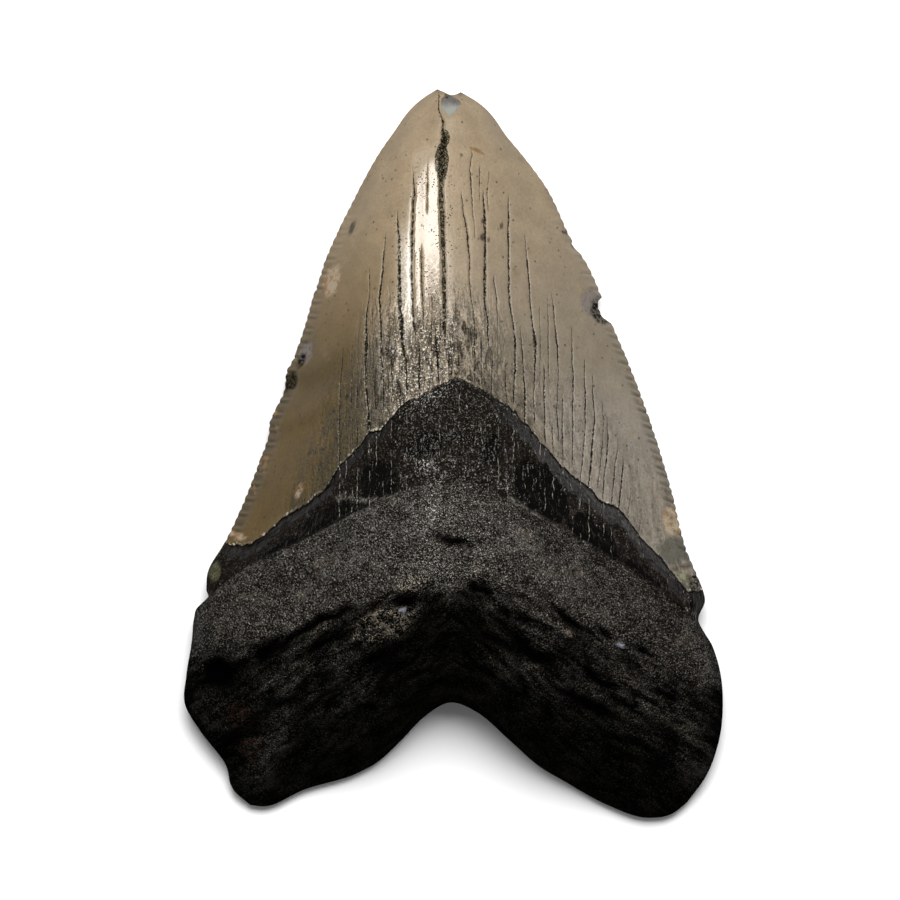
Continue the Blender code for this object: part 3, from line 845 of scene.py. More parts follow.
        ((10.0, 30.3, 0.12), (10.2, 27.2, 0.22), (10.6, 23.7, 0.26), (10.7, 20.9, 0.2), (11.0, 18.1, 0.3),
         (11.4, 15.3, 0.5), (11.3, 12.5, 0.24), (11.1, 8.3, 0.18), (11.3, 4.8, 0.2)),
        ((12.0, 20.2, 0.1), (12.1, 14.6, 0.14), (12.0, 9.7, 0.1)),
        ((12.6, 11.8, 0.16), (12.6, 7.6, 0.26), (12.7, 2.0, 0.24)),
        ((13.1, 21.6, 0.1), (13.2, 16.0, 0.16), (13.2, 11.1, 0.1), (13.3, 9.9, 0.0), (13.7, 4.9, 0.0),
         (13.7, 4.1, 0.16), (13.8, 0.3, 0.2)),
        ((13.7, 22.3, 0.1), (13.9, 20.5, 0.18), (14.2, 17.4, 0.22), (14.5, 14.6, 0.26), (14.6, 11.8, 0.14),
         (14.5, 8.3, 0.14), (14.4, 6.0, 0.22), (14.6, 2.0, 0.16)),
        ((15.2, 8.3, 0.12), (15.1, 3.4, 0.24), (15.2, -0.5, 0.2)),
        ((16.5, 17.2, 0.12), (16.5, 14.6, 0.18), (16.7, 11.1, 0.22), (16.6, 7.6, 0.18), (16.6, 2.0, 0.22),
         (16.5, -1.5, 0.14)),
        ((18.3, 13.0, 0.1), (18.3, 10.4, 0.2), (18.4, 7.6, 0.24), (18.3, 3.4, 0.18), (18.0, -0.1, 0.2),
         (17.6, -3.4, 0.16)),
        ((19.4, 10.7, 0.1), (19.5, 7.6, 0.2), (19.7, 4.8, 0.22), (19.4, 2.0, 0.36), (19.1, -0.8, 0.36),
         (18.8, -4.1, 0.3)),
        ((20.8, 6.9, 0.1), (20.9, 4.1, 0.18), (20.8, 1.3, 0.12), (20.4, -1.5, 0.14), (20.1, -4.3, 0.18)),
        ((21.5, 5.1, 0.1), (21.5, 2.0, 0.22), (21.3, -0.8, 0.22), (20.9, -3.6, 0.2), (20.8, -6.0, 0.2)),
        ((23.0, 1.8, 0.1), (22.7, -0.8, 0.2), (22.3, -3.6, 0.24), (22.0, -6.4, 0.24)),
        ((23.7, -0.5, 0.1), (23.6, -2.9, 0.26), (23.3, -5.0, 0.32), (23.0, -7.4, 0.3)),
        ((24.7, -5.7, 0.1), (24.3, -8.2, 0.18)),
        ((26.2, -8.9, 0.1), (25.8, -10.9, 0.16)),
    )))
    labial_cracks: tuple[float, ...] = (
        -15.5, -12.0, -8.0, -5.2, -3.0, 0.4, 2.6, 6.0, 8.8, 12.5, 16.0, 19.0,
    )
    lump_size: float = 8.5
    lump_height: float = 0.7
    grain_size: float = 3.1
    grain_height: float = 0.35
    fine_size: float = 1.15
    fine_height: float = 0.18
    lump_seed: float = 3.7
    grain_seed: float = 9.1
    labial_seed: float = 21.3
    furrow_size: float = 2.3
    furrow_stretch: float = 4.5
    furrow_depth: float = 0.75
    furrow_turn: float = 33.0
    coarse_grain: float = 0.11
    margin_reach: float = 4.5

    def furrows(self, x: Array, y: Array) -> Array:
        """Return the many small furrows that run outwards and down from the root's crest.

        Args:
            x: Places across the tooth.
            y: Places along the tooth.

        Returns:
            1 at the bottom of a furrow, falling to 0 beside it.
        """
        turn = math.radians(self.furrow_turn)
        along = np.abs(x) * math.cos(turn) - y * math.sin(turn)
        across = np.abs(x) * math.sin(turn) + y * math.cos(turn)
        bend = 0.9 * lumps(x, y, 6.0, 75.0)
        wave = lumps(across + bend, along, self.furrow_size, 77.0, self.furrow_stretch)
        wave += 0.5 * lumps(across + bend, along, 0.5 * self.furrow_size, 79.0, self.furrow_stretch)
        return bell(wave, 0.19)

    def back_field(self) -> CrackField:
        """Return the few cracks of the lower face.

        Returns:
            The field of these cracks.
        """
        cracks = []
        for number, place in enumerate(self.labial_cracks):
            top = 40.0 - 1.3 * abs(place) - 3.0 * (number % 3)
            foot = -9.0 + 4.0 * (number % 2)
            middle = (0.88 * place, 0.5 * (top + foot), 0.3)
            cracks.append(Crack(((0.72 * place, top, 0.1), middle, (place, foot, 0.14))))
        return CrackField(tuple(cracks))


@dataclass(frozen=True)
class ToothHeights:
    """How the two faces stand over the plan, by station."""

    edge: tuple[Point, ...] = (
        (0.0, 2.0), (1.0, 5.2), (2.0, 5.0), (3.0, 4.6), (4.0, 3.6), (5.0, 2.9), (6.0, 2.8), (7.0, 3.4),
    )
    lingual_rise: tuple[Point, ...] = (
        (0.0, 21.0), (1.0, 18.8), (1.5, 17.8), (2.0, 15.6), (3.0, 12.6), (4.0, 11.3), (5.0, 9.8),
        (6.0, 7.4), (6.6, 5.0), (7.0, 2.6),
    )
    labial_belly: tuple[Point, ...] = (
        (0.0, 0.1), (1.0, 0.3), (2.0, 0.2), (3.0, 0.35), (4.0, 0.5), (5.0, 0.3), (6.0, -0.3),
        (6.6, -1.2), (7.0, -2.2),
    )
    enamel_edge: tuple[float, float] = (2.972, 2.998)
    strip_start: tuple[float, float] = (2.7, 3.6)
    root_edge: tuple[float, float] = (2.1, 1.7)
    enamel_step: float = 0.45
    neck_groove: float = 0.35
    neck_groove_reach: float = 0.10
    labial_neck_groove: float = 0.5
    labial_neck_groove_reach: float = 0.16
    labial_hollow: float = 1.8
    tip_bluntness: float = 0.06
    crown_peak_share: float = 0.3
    lobe_drop: float = 0.52
    lobe_start: float = 0.9
    lingual_squareness: int = 5
    labial_squareness: int = 6
    base_fullness: float = 3.0
    lobe_extra_fullness: float = -0.8
    lobe_slope: float = 0.28
    labial_fullness: float = 3.0
    relief_fade: float = 6.0
    least_body: float = 0.15

    def rounding(self, station: Array, fullness: float | Array, power: float | Array = 0.5) -> Array:
        """Return the round profile of the root's base and of the blunt tip, from 0 to 1.

        Args:
            station: Stations of the places.
            fullness: How soon the base reaches its full height.
            power: 0.5 for a base that starts upright, more for one that starts on a slope.

        Returns:
            Shares of the full height.
        """
        from_base = np.clip(station, 0.0, 1.0)
        from_tip = np.clip((TIP - station) / self.tip_bluntness, 0.0, 1.0)
        base = (1.0 - (1.0 - from_base) ** fullness) ** power
        return base * np.sqrt(1.0 - (1.0 - from_tip) ** 2)

    def crown_dome(self, spread: Array) -> Array:
        """Return the even, round cross-section that the crown has near the root."""
        dome = 1.0 - spread**2
        return dome + self.crown_peak_share * (dome**2 - dome)

    def cross_section(self, spread: Array, station: Array, crown: Array) -> Array:
        """Return the lingual height across the tooth, from 0 at the sides to 1 in the middle.

        Args:
            spread: Distances from the middle, from 0 to 1 at the sides.
            station: Stations of the places.
            crown: The crown's own cross-section at the places.

        Returns:
            Shares of the rise.
        """
        root = np.sqrt(1.0 - spread**self.lingual_squareness)
        root *= 1.0 - self.lobe_drop * smooth_step(0.0, self.lobe_start, spread)
        share = smooth_step(1.4, 3.2, station)
        return root * (1.0 - share) + crown * share


class Sheet:
    """The points of one face, with their masks."""

    def __init__(self, plan: ToothPlan, u: Array, station: Array, face: Face) -> None:
        """Lay the points out on the plan, with every mask at 0.

        Args:
            plan: The plan of the tooth.
            u: Places along the rows, from 0 at the left side to 1 at the right side.
            station: Stations of the rows.
            face: The face that the points make.
        """
        self.u = u
        self.station = station
        self.x, self.y = plan.places(u, station, face)
        self.z = np.zeros_like(u)
        self.spread = np.abs(2.0 * u - 1.0)
        self.masks = {mask: np.zeros_like(u) for mask in Mask}

    def lumps(self, size: float, seed: float, stretch: float = 1.0) -> Array:
        """Return smooth noise between about -1 and 1 at the points."""
        return lumps(self.x, self.y, size, seed, stretch)

    def between(self, low: float, high: float) -> Array:
        """Change smoothly from 0 at one station to 1 at another."""
        return smooth_step(low, high, self.station)

    def mark(self, mask: Mask, values: Array) -> None:
        """Raise a mask to values, where they are higher."""
        self.masks[mask] = np.maximum(self.masks[mask], values)


@dataclass(frozen=True)
class SheetMaker:
    """Works out the points and masks of the two faces."""

    plan: ToothPlan
    relief: ToothRelief
    heights: ToothHeights
    strip: CrestStrip = CrestStrip()

    def lingual(self, u: Array, station: Array) -> Sheet:
        """Work out the bulging upper face.

        Args:
            u: Places along the rows, from 0 to 1.
            station: Stations of the rows.

        Returns:
            The points and masks of the face.
        """
        form = self.heights
        sheet = Sheet(self.plan, u, station, Face.LINGUAL)
        spread, masks = sheet.spread, sheet.masks
        left_x, right_x = (self.plan.side(station, side)[0] for side in Side)
        edge = smooth_curve(form.edge)(station)
        rise = smooth_curve(form.lingual_rise)(station)
        fullness = form.base_fullness + form.lobe_extra_fullness * smooth_step(0.3, 0.8, spread)
        strip = sheet.between(*form.strip_start)
        dome = (1.0 - strip) * form.crown_dome(spread) + strip * self.strip.dome(u, left_x, right_x)
        power = 0.5 + form.lobe_slope * smooth_step(0.15, 0.55, spread)
        rounding = form.rounding(station, fullness, power)
        body = rise * form.cross_section(spread, station, dome) * rounding
        inside = np.clip(form.relief_fade * body / rise, 0.0, 1.0)
        enamel = sheet.between(*form.enamel_edge)
        offset = -form.enamel_step * (1.0 - enamel) * sheet.between(CREST, NECK)
        offset -= form.neck_groove * bell(station - NECK, form.neck_groove_reach)
        offset += sheet.between(*form.root_edge) * self.root_lumps(sheet)
        furrow = self.furrow_zone(sheet) * self.relief.furrows(sheet.x, sheet.y)
        offset -= self.relief.furrow_depth * furrow
        offset += self.root_marks(sheet)
        # Furrows get painted shade through the hollow mask.
        sheet.mark(Mask.HOLLOW, np.clip(0.75 * furrow, 0.0, 1.0))
        offset += self.band_flakes(sheet)
        offset += enamel * self.crown_marks(sheet)
        offset += self.rim(sheet)
        sheet.z = edge + np.maximum(body + offset * inside, form.least_body * body)
        masks[Mask.FOOT] = np.clip(sheet.y - self.plan.foot_y(sheet.x), *FOOT_RANGE)
        on_root = smooth_step(2.03, 1.96, station + 0.05 * sheet.lumps(1.1, 73.0))
        masks[Mask.BOURLETTE] = (1.0 - enamel) * (1.0 - on_root)
        masks[Mask.MARGIN] = self.margin_mask(sheet)
        masks[Mask.RIB] = self.rib_mask(sheet)
        masks[Mask.UPPER] = smooth_step(0.84, 1.04, station + 0.16 * sheet.lumps(3.0, 71.0))
        self.spot_marks(sheet)
        return sheet

    def labial(self, u: Array, station: Array) -> Sheet:
        """Work out the flatter lower face, level where the tooth rests.

        Args:
            u: Places along the rows, from 0 to 1.
            station: Stations of the rows.

        Returns:
            The points and masks of the face.
        """
        form, relief = self.heights, self.relief
        sheet = Sheet(self.plan, u, station, Face.LABIAL)
        spread, masks = sheet.spread, sheet.masks
        edge = smooth_curve(form.edge)(station)
        reach = edge + smooth_curve(form.labial_belly)(station)
        crown = reach * (1.0 - spread**2)
        inside = np.sqrt(1.0 - spread**form.labial_squareness)
        middle = smooth_step(0.6, 0.1, spread)
        root = reach * inside - form.labial_hollow * middle * bell(station - 0.3, 0.5)
        share = sheet.between(CREST, FOOT)
        depth = root * (1.0 - share) + crown * share
        depth *= form.rounding(station, form.labial_fullness)
        neck = 1.35 + 1.1 * spread**1.6 + 0.04 * sheet.lumps(1.6, 61.0)
        groove = form.labial_neck_groove * bell(station - neck, form.labial_neck_groove_reach)
        on_root = smooth_step(neck + 0.1, neck - 0.3, station) * sheet.between(0.0, 0.2)
        bumps = relief.grain_height * sheet.lumps(relief.lump_size, relief.labial_seed)
        bumps += 0.5 * relief.fine_height * sheet.lumps(relief.fine_size, 64.0)
        enamel = smooth_step(neck - 0.02, neck + 0.03, station)
        count, width, gap = relief.back_field().measure(sheet.x, sheet.y)
        cracks = 0.12 * bell(gap, 0.35) * np.clip(4.0 * width, 0.0, 1.0) * enamel
        depth += inside * (on_root * bumps - groove - cracks)
        sheet.z = np.maximum(edge - depth, 0.0)
        masks[Mask.FOOT] = np.clip(8.0 * (station - neck), *FOOT_RANGE)
        masks[Mask.CRACK_COUNT] = count
        masks[Mask.CRACK_WIDTH] = width * enamel
        masks[Mask.MARGIN] = self.margin_mask(sheet) * enamel
        masks[Mask.RIB] = self.rib_mask(sheet)
        masks[Mask.UPPER] = np.full_like(u, 0.7)
        return sheet

    def root_lumps(self, sheet: Sheet) -> Array:
        """Return the uneven surface of the root.

        Args:
            sheet: The face.

        Returns:
            Heights to add to the surface.
        """
        relief = self.relief
        height = relief.lump_height * sheet.lumps(relief.lump_size, relief.lump_seed)
        height += relief.grain_height * sheet.lumps(relief.grain_size, relief.grain_seed)
        height += relief.fine_height * sheet.lumps(relief.fine_size, 15.7)
        height += relief.coarse_grain * sheet.lumps(0.55, 16.3)
        return height

    def furrow_zone(self, sheet: Sheet) -> Array:
        """Return how furrowed the root's surface is: most along its crest and on its flanks."""
        patch = 0.5 + 0.5 * sheet.lumps(7.0, 81.0)
        return sheet.between(0.12, 0.45) * sheet.between(1.16, 0.92) * (0.35 + patch)

    def sink_chips(self, sheet: Sheet, chips: Sequence[Chip]) -> Array:
        """Mark chips, and return how deep they lie.

        Args:
            sheet: The face.
            chips: The chips.

        Returns:
            Their depth at each point.
        """
        depth = np.zeros_like(sheet.x)
        for chip in chips:
            nearness = chip.nearness(sheet.x, sheet.y)
            depth += chip.depth * nearness
            sheet.mark(chip.look, nearness)
        return depth

    def root_marks(self, sheet: Sheet) -> Array:
        """Carve the furrows, pits and nodules of the root, and mark them.

        Args:
            sheet: The face.

        Returns:
            Heights to add to the surface.
        """
        x, y = sheet.x, sheet.y
        height = np.zeros_like(x)
        bend = 0.45 * sheet.lumps(2.2, 33.0) + 0.25 * sheet.lumps(0.9, 35.0)
        for groove in self.relief.grooves + self.relief.ridges:
            gap, progress = distance_to_line(x, y + bend, groove.points)
            taper = 0.35 + 0.65 * np.sin(math.pi * np.clip(progress, 0.02, 0.98))
            cut = bell(gap, groove.width) * taper
            height -= groove.depth * cut
            if groove.depth > 0.0:
                sheet.mark(Mask.HOLLOW, np.clip(1.1 * cut, 0.0, 1.0))
        for pit in self.relief.pits + self.relief.nodules:
            nearness = pit.nearness(x + bend, y + bend)
            height -= pit.depth * nearness
            sheet.mark(Mask.HOLLOW, pit.darkness * nearness)
        return height - self.sink_chips(sheet, self.relief.root_patches)

    def spot_marks(self, sheet: Sheet) -> None:
        """Mark the black flakes, the sparkling and lit places, and the pale seams of the band.

        Args:
            sheet: The face.
        """
        relief = self.relief
        tables = {Mask.FLAKE: relief.flakes, Mask.SPARK: relief.sparks, Mask.UPPER: relief.lit_zones}
        for mask, spots in tables.items():
            for spot in spots:
                sheet.mark(mask, spot.strength * spot.nearness(sheet.x, sheet.y))
        bend = 0.2 * sheet.lumps(1.0, 95.0)
        for seam in relief.seams:
            gap, _progress = distance_to_line(sheet.x, sheet.y + bend, seam.points)
            sheet.mark(Mask.SEAM, bell(gap, seam.width))

    def band_flakes(self, sheet: Sheet) -> Array:
        """Return the layered, flaked surface of the band under the enamel.

        Args:
            sheet: The face.

        Returns:
            Heights to add to the surface.
        """
        ragged = sheet.station + 0.10 * sheet.lumps(1.4, 91.0) + 0.05 * sheet.lumps(0.6, 92.0)
        strip = 0.22 * smooth_step(2.52, 2.60, ragged) * smooth_step(1.0, 5.0, np.abs(sheet.x))
        lower = 0.16 * smooth_step(2.22, 2.16, ragged) * sheet.between(1.9, 2.05)
        ribs = 0.10 * sheet.lumps(1.0, 93.0, 6.0) * sheet.between(2.0, 2.1)
        return (strip + lower + ribs) * sheet.between(2.99, 2.95)

    def crown_marks(self, sheet: Sheet) -> Array:
        """Carve the cracks and chips of the crown, and mark them.

        Args:
            sheet: The face.

        Returns:
            Heights to add to the surface.
        """
        rough = smooth_step(24.0, 12.0, sheet.y) * smooth_step(13.0, 5.0, np.abs(sheet.x + 3.0))
        height = (0.05 + 0.07 * rough) * sheet.lumps(1.7, 51.0, 7.0)
        height += 0.07 * rough * sheet.lumps(0.6, 53.0, 1.5)
        count, width, gap = CrackField(self.relief.cracks).measure(sheet.x, sheet.y)
        depth = (0.02 + 0.24 * width) * np.clip(5.0 * width, 0.0, 1.0)
        height -= depth * bell(gap, 0.16 + 0.5 * width)
        sheet.masks[Mask.CRACK_COUNT] = count
        sheet.masks[Mask.CRACK_WIDTH] = width * (sheet.station > 2.95)
        return height - self.sink_chips(sheet, self.relief.chips)

    def rim(self, sheet: Sheet) -> Array:
        """Return the slightly rolled edge of the enamel at its foot."""
        wear = 1.0 + lumps(sheet.x, sheet.x * 0.0, 0.9, 47.0)
        return 0.10 * bell(sheet.station - 3.02, 0.02) * wear

    def margin_mask(self, sheet: Sheet) -> Array:
        """Return a mask that is 1 at the cutting edges and falls to 0 inside them.

        Args:
            sheet: The face.

        Returns:
            The mask's values.
        """
        left_x, right_x = (self.plan.side(sheet.station, side)[0] for side in Side)
        gap = np.minimum(sheet.x - left_x, right_x - sheet.x)
        return smooth_step(self.relief.margin_reach, 0.0, gap) * sheet.between(2.9, 3.1)

    def rib_mask(self, sheet: Sheet) -> Array:
        """Return a mask of the gaps between the serrations, which run a little way inwards.

        Args:
            sheet: The face, with its margin already marked.

        Returns:
            The mask's values.
        """
        wave = np.abs(np.cos(math.pi * self.plan.serration_phase(sheet.station))) ** 2
        near_edge = smooth_step(0.62, 0.9, sheet.masks[Mask.MARGIN])
        return (1.0 - wave) * near_edge * sheet.between(6.4, 5.0)


@dataclass
class ToothBuilder:
    """Builds the tooth as one closed mesh of two welded sheets."""

    plan: ToothPlan = field(default_factory=ToothPlan)
    relief: ToothRelief = field(default_factory=ToothRelief)
    heights: ToothHeights = field(default_factory=ToothHeights)
    rows_base_to_crest: int = 66
    rows_crest_to_neck: int = 42
    rows_neck_to_foot: int = 31
    rows_foot_to_tip: int = 152
    columns: int = 240
    edge_cuts: int = 1
    weld_distance: float = 0.0008
    name: str = "fossil_tooth"
    uv_name: str = "OFBake"
    picture_rim: float = 0.01
    picture_spans: dict[Face, tuple[float, float]] = field(
        default_factory=lambda: {Face.LINGUAL: (0.01, 0.62), Face.LABIAL: (0.99, 0.64)}
    )

    def row_stations(self) -> Array:
        """Return the station of each row, with a close pair of rows at the enamel's foot.

        Returns:
            The stations, from the base to the tip.
        """
        turn = np.linspace(0.0, 0.5 * math.pi, self.rows_base_to_crest + 1)
        base = 0.5 * (1.0 - np.cos(turn)) + 0.5 * (turn / turn[-1]) ** 1.6
        crest = np.linspace(CREST, NECK, self.rows_crest_to_neck + 1)
        bourlette = np.linspace(NECK, BELOW_FOOT, self.rows_neck_to_foot + 1)
        crown = np.linspace(FOOT, TIP, self.rows_foot_to_tip + 1)
        return np.concatenate((base, crest[1:], bourlette[1:], crown))

    def column_places(self) -> Array:
        """Return the u of each column. They are closer in the middle and at the sides.

        Returns:
            The places, from 0 to 1.
        """
        even = np.linspace(0.0, 1.0, 2001)
        density = 1.0 + 0.9 * bell(even - 0.5, 0.2) + 1.6 * (bell(even, 0.04) + bell(even - 1.0, 0.04))
        share = np.concatenate(([0.0], np.cumsum(0.5 * (density[1:] + density[:-1]))))
        return np.interp(np.linspace(0.0, 1.0, self.columns + 1), share / share[-1], even)

    def flat_sheet(self, row_count: int, step: int) -> bpy.types.Mesh:
        """Make a unit grid whose side edges are cut finer where it needs them.

        Args:
            row_count: Number of rows of the full grid.
            step: 1 for the full grid, 2 for one with half the rows and columns.

        Returns:
            A mesh with x as the place across and y as the place along, from 0 to 1.
        """
        sheet = bmesh.new()
        rows = (row_count - 1) // step
        columns = self.columns // step
        bmesh.ops.create_grid(sheet, x_segments=columns, y_segments=rows, size=0.5)
        bmesh.ops.translate(sheet, verts=sheet.verts, vec=Vector((0.5, 0.5, 0.0)))
        crown_start = 1.0 - (self.rows_foot_to_tip + 0.5) / (row_count - 1)
        borders = [edge for edge in sheet.edges if edge.is_boundary]
        sides = [edge for edge in borders if abs(edge.verts[0].co.x - edge.verts[1].co.x) < 1e-6]
        ends = [edge for edge in borders if abs(edge.verts[0].co.y - edge.verts[1].co.y) < 1e-6]
        crown = [edge for edge in sides if min(vert.co.y for vert in edge.verts) > crown_start]
        lower = [edge for edge in sides if min(vert.co.y for vert in edge.verts) <= crown_start]
        cuts = step * (self.edge_cuts + 1) - 1
        bmesh.ops.subdivide_edges(sheet, edges=crown, cuts=cuts)
        if step > 1:
            lower = [edge for edge in lower if edge.is_valid]
            ends = [edge for edge in ends if edge.is_valid]
            bmesh.ops.subdivide_edges(sheet, edges=lower + ends, cuts=step - 1)
        data = bpy.data.meshes.new("sheet")
        sheet.to_mesh(data)
        sheet.free()
        return data

    def shaped_sheet(self, face: Face) -> bpy.types.Mesh:
        """Make one face of the tooth with its masks and its place in the bake.

        Args:
            face: The face to make.

        Returns:
            An open mesh in metres.
        """
        rows = self.row_stations()
        step = 1 if face is Face.LINGUAL else 2
        data = self.flat_sheet(len(rows), step)
        flat = np.empty(len(data.vertices) * 3)
        data.vertices.foreach_get("co", flat)
        across, along = flat[0::3], flat[1::3]
        columns = self.column_places()
        u = np.interp(across, np.linspace(0.0, 1.0, len(columns)), columns)
        station = np.interp(along, np.linspace(0.0, 1.0, len(rows)), rows)
        maker = SheetMaker(self.plan, self.relief, self.heights)
        shape = maker.lingual(u, station) if face is Face.LINGUAL else maker.labial(u, station)
        place = np.column_stack((shape.x, shape.y, shape.z)) * MM
        data.vertices.foreach_set("co", place.ravel())
        for mask, values in shape.masks.items():
            layer = data.attributes.new(mask.value, "FLOAT", "POINT")
            layer.data.foreach_set("value", values.astype(np.float32))
        self.lay_out(data, across, along, face)
        data.update()
        self.mark_steep_walls(data)
        return data

    def mark_steep_walls(self, data: bpy.types.Mesh) -> None:
        """Mark where a sheet is near upright. Its mask for this is 1 on a wall and 0 on top.

        Args:
            data: The sheet's mesh.
        """
        normals = np.empty(len(data.vertices) * 3, dtype=np.float32)
        data.vertex_normals.foreach_get("vector", normals)
        steep = smooth_step(0.62, 0.28, np.abs(normals[2::3]))
        data.attributes[Mask.STEEP.value].data.foreach_set("value", steep.astype(np.float32))

    def lay_out(self, data: bpy.types.Mesh, across: Array, along: Array, face: Face) -> None:
        """Give a sheet its own part of the bake's picture.

        Args:
            data: The sheet's mesh.
            across: Each point's place across the grid, from 0 to 1.
            along: Each point's place along the grid, from 0 to 1.
            face: Which face the sheet makes.
        """
        corner = np.empty(len(data.loops), dtype=np.int32)
        data.loops.foreach_get("vertex_index", corner)
        low, high = self.picture_spans[face]
        picture_x = low + (high - low) * across[corner]
        picture_y = self.picture_rim + (1.0 - 2.0 * self.picture_rim) * along[corner]
        layer = data.uv_layers.new(name=self.uv_name)
        layer.data.foreach_set("uv", np.column_stack((picture_x, picture_y)).ravel())

    def build(self) -> bpy.types.Object:
        """Weld the two faces into the tooth and return its object.

        Returns:
            The tooth.
        """
        mesh = bmesh.new()
        for face in Face:
            sheet = self.shaped_sheet(face)
            if face is Face.LABIAL:
                sheet.flip_normals()
            mesh.from_mesh(sheet)
            bpy.data.meshes.remove(sheet)
        borders = [vert for vert in mesh.verts if vert.is_boundary]
        bmesh.ops.remove_doubles(mesh, verts=borders, dist=self.weld_distance * MM)
        open_edges = sum(not edge.is_manifold for edge in mesh.edges)
        data = bpy.data.meshes.new(self.name)
        mesh.to_mesh(data)
        mesh.free()
        data.shade_smooth()
        LOG.info("%s: %d faces, %d open edges", self.name, len(data.polygons), open_edges)
        return add_object(self.name, data)


# ---- Shader maths ----


def maths(operation: str, reflected: bool = False) -> Callable[..., Socket]:
    """Make a method of Socket that adds a Math node.

    Args:
        operation: The Math node's operation.
        reflected: Whether the socket is the node's second value, as in 1 - mask.

    Returns:
        The method.
    """
    def method(self: Socket, *others: Socket | float) -> Socket:
        """Add the Math node and return its output."""
        values = (*others, self) if reflected else (self, *others)
        return self.graph.node("ShaderNodeMath", {"operation": operation}, dict(enumerate(values)))

    return method


class Socket:
    """A shader output that takes part in Python expressions."""

    __add__ = maths("ADD")
    __radd__ = maths("ADD", reflected=True)
    __sub__ = maths("SUBTRACT")
    __rsub__ = maths("SUBTRACT", reflected=True)
    __mul__ = maths("MULTIPLY")
    __rmul__ = maths("MULTIPLY", reflected=True)
    __truediv__ = maths("DIVIDE")
    size = maths("ABSOLUTE")
    rounded = maths("ROUND")

    def __init__(self, graph: Graph, output: bpy.types.NodeSocket) -> None:
        """Wrap an output of a node in a graph."""
        self.graph = graph
        self.output = output

    def clamped(self) -> Socket:
        """Return the value kept between 0 and 1."""
        return self.graph.node("ShaderNodeClamp", {}, {"Value": self})

    def step(self, low: float, high: float) -> Socket:
        """Change smoothly from 0 at low to 1 at high.

        Args:
            low: Value at which the result is 0.
            high: Value at which the result is 1.

        Returns:
            Numbers from 0 to 1.
        """
        settings = {"interpolation_type": "SMOOTHSTEP"}
        ends = {"Value": self, "From Min": low, "From Max": high, "To Min": 0.0, "To Max": 1.0}
        if low > high:
            ends.update({"From Min": high, "From Max": low, "To Min": 1.0, "To Max": 0.0})
        return self.graph.node("ShaderNodeMapRange", settings, ends)

    def near(self, middle: float, outer: float, inner: float) -> Socket:
        """Return 1 within inner of the middle, falling smoothly to 0 at outer."""
        return (self - middle).size().step(outer, inner)

    def centred(self) -> Socket:
        """Return noise moved down, so that its middle is 0."""
        return self - NOISE_MIDDLE


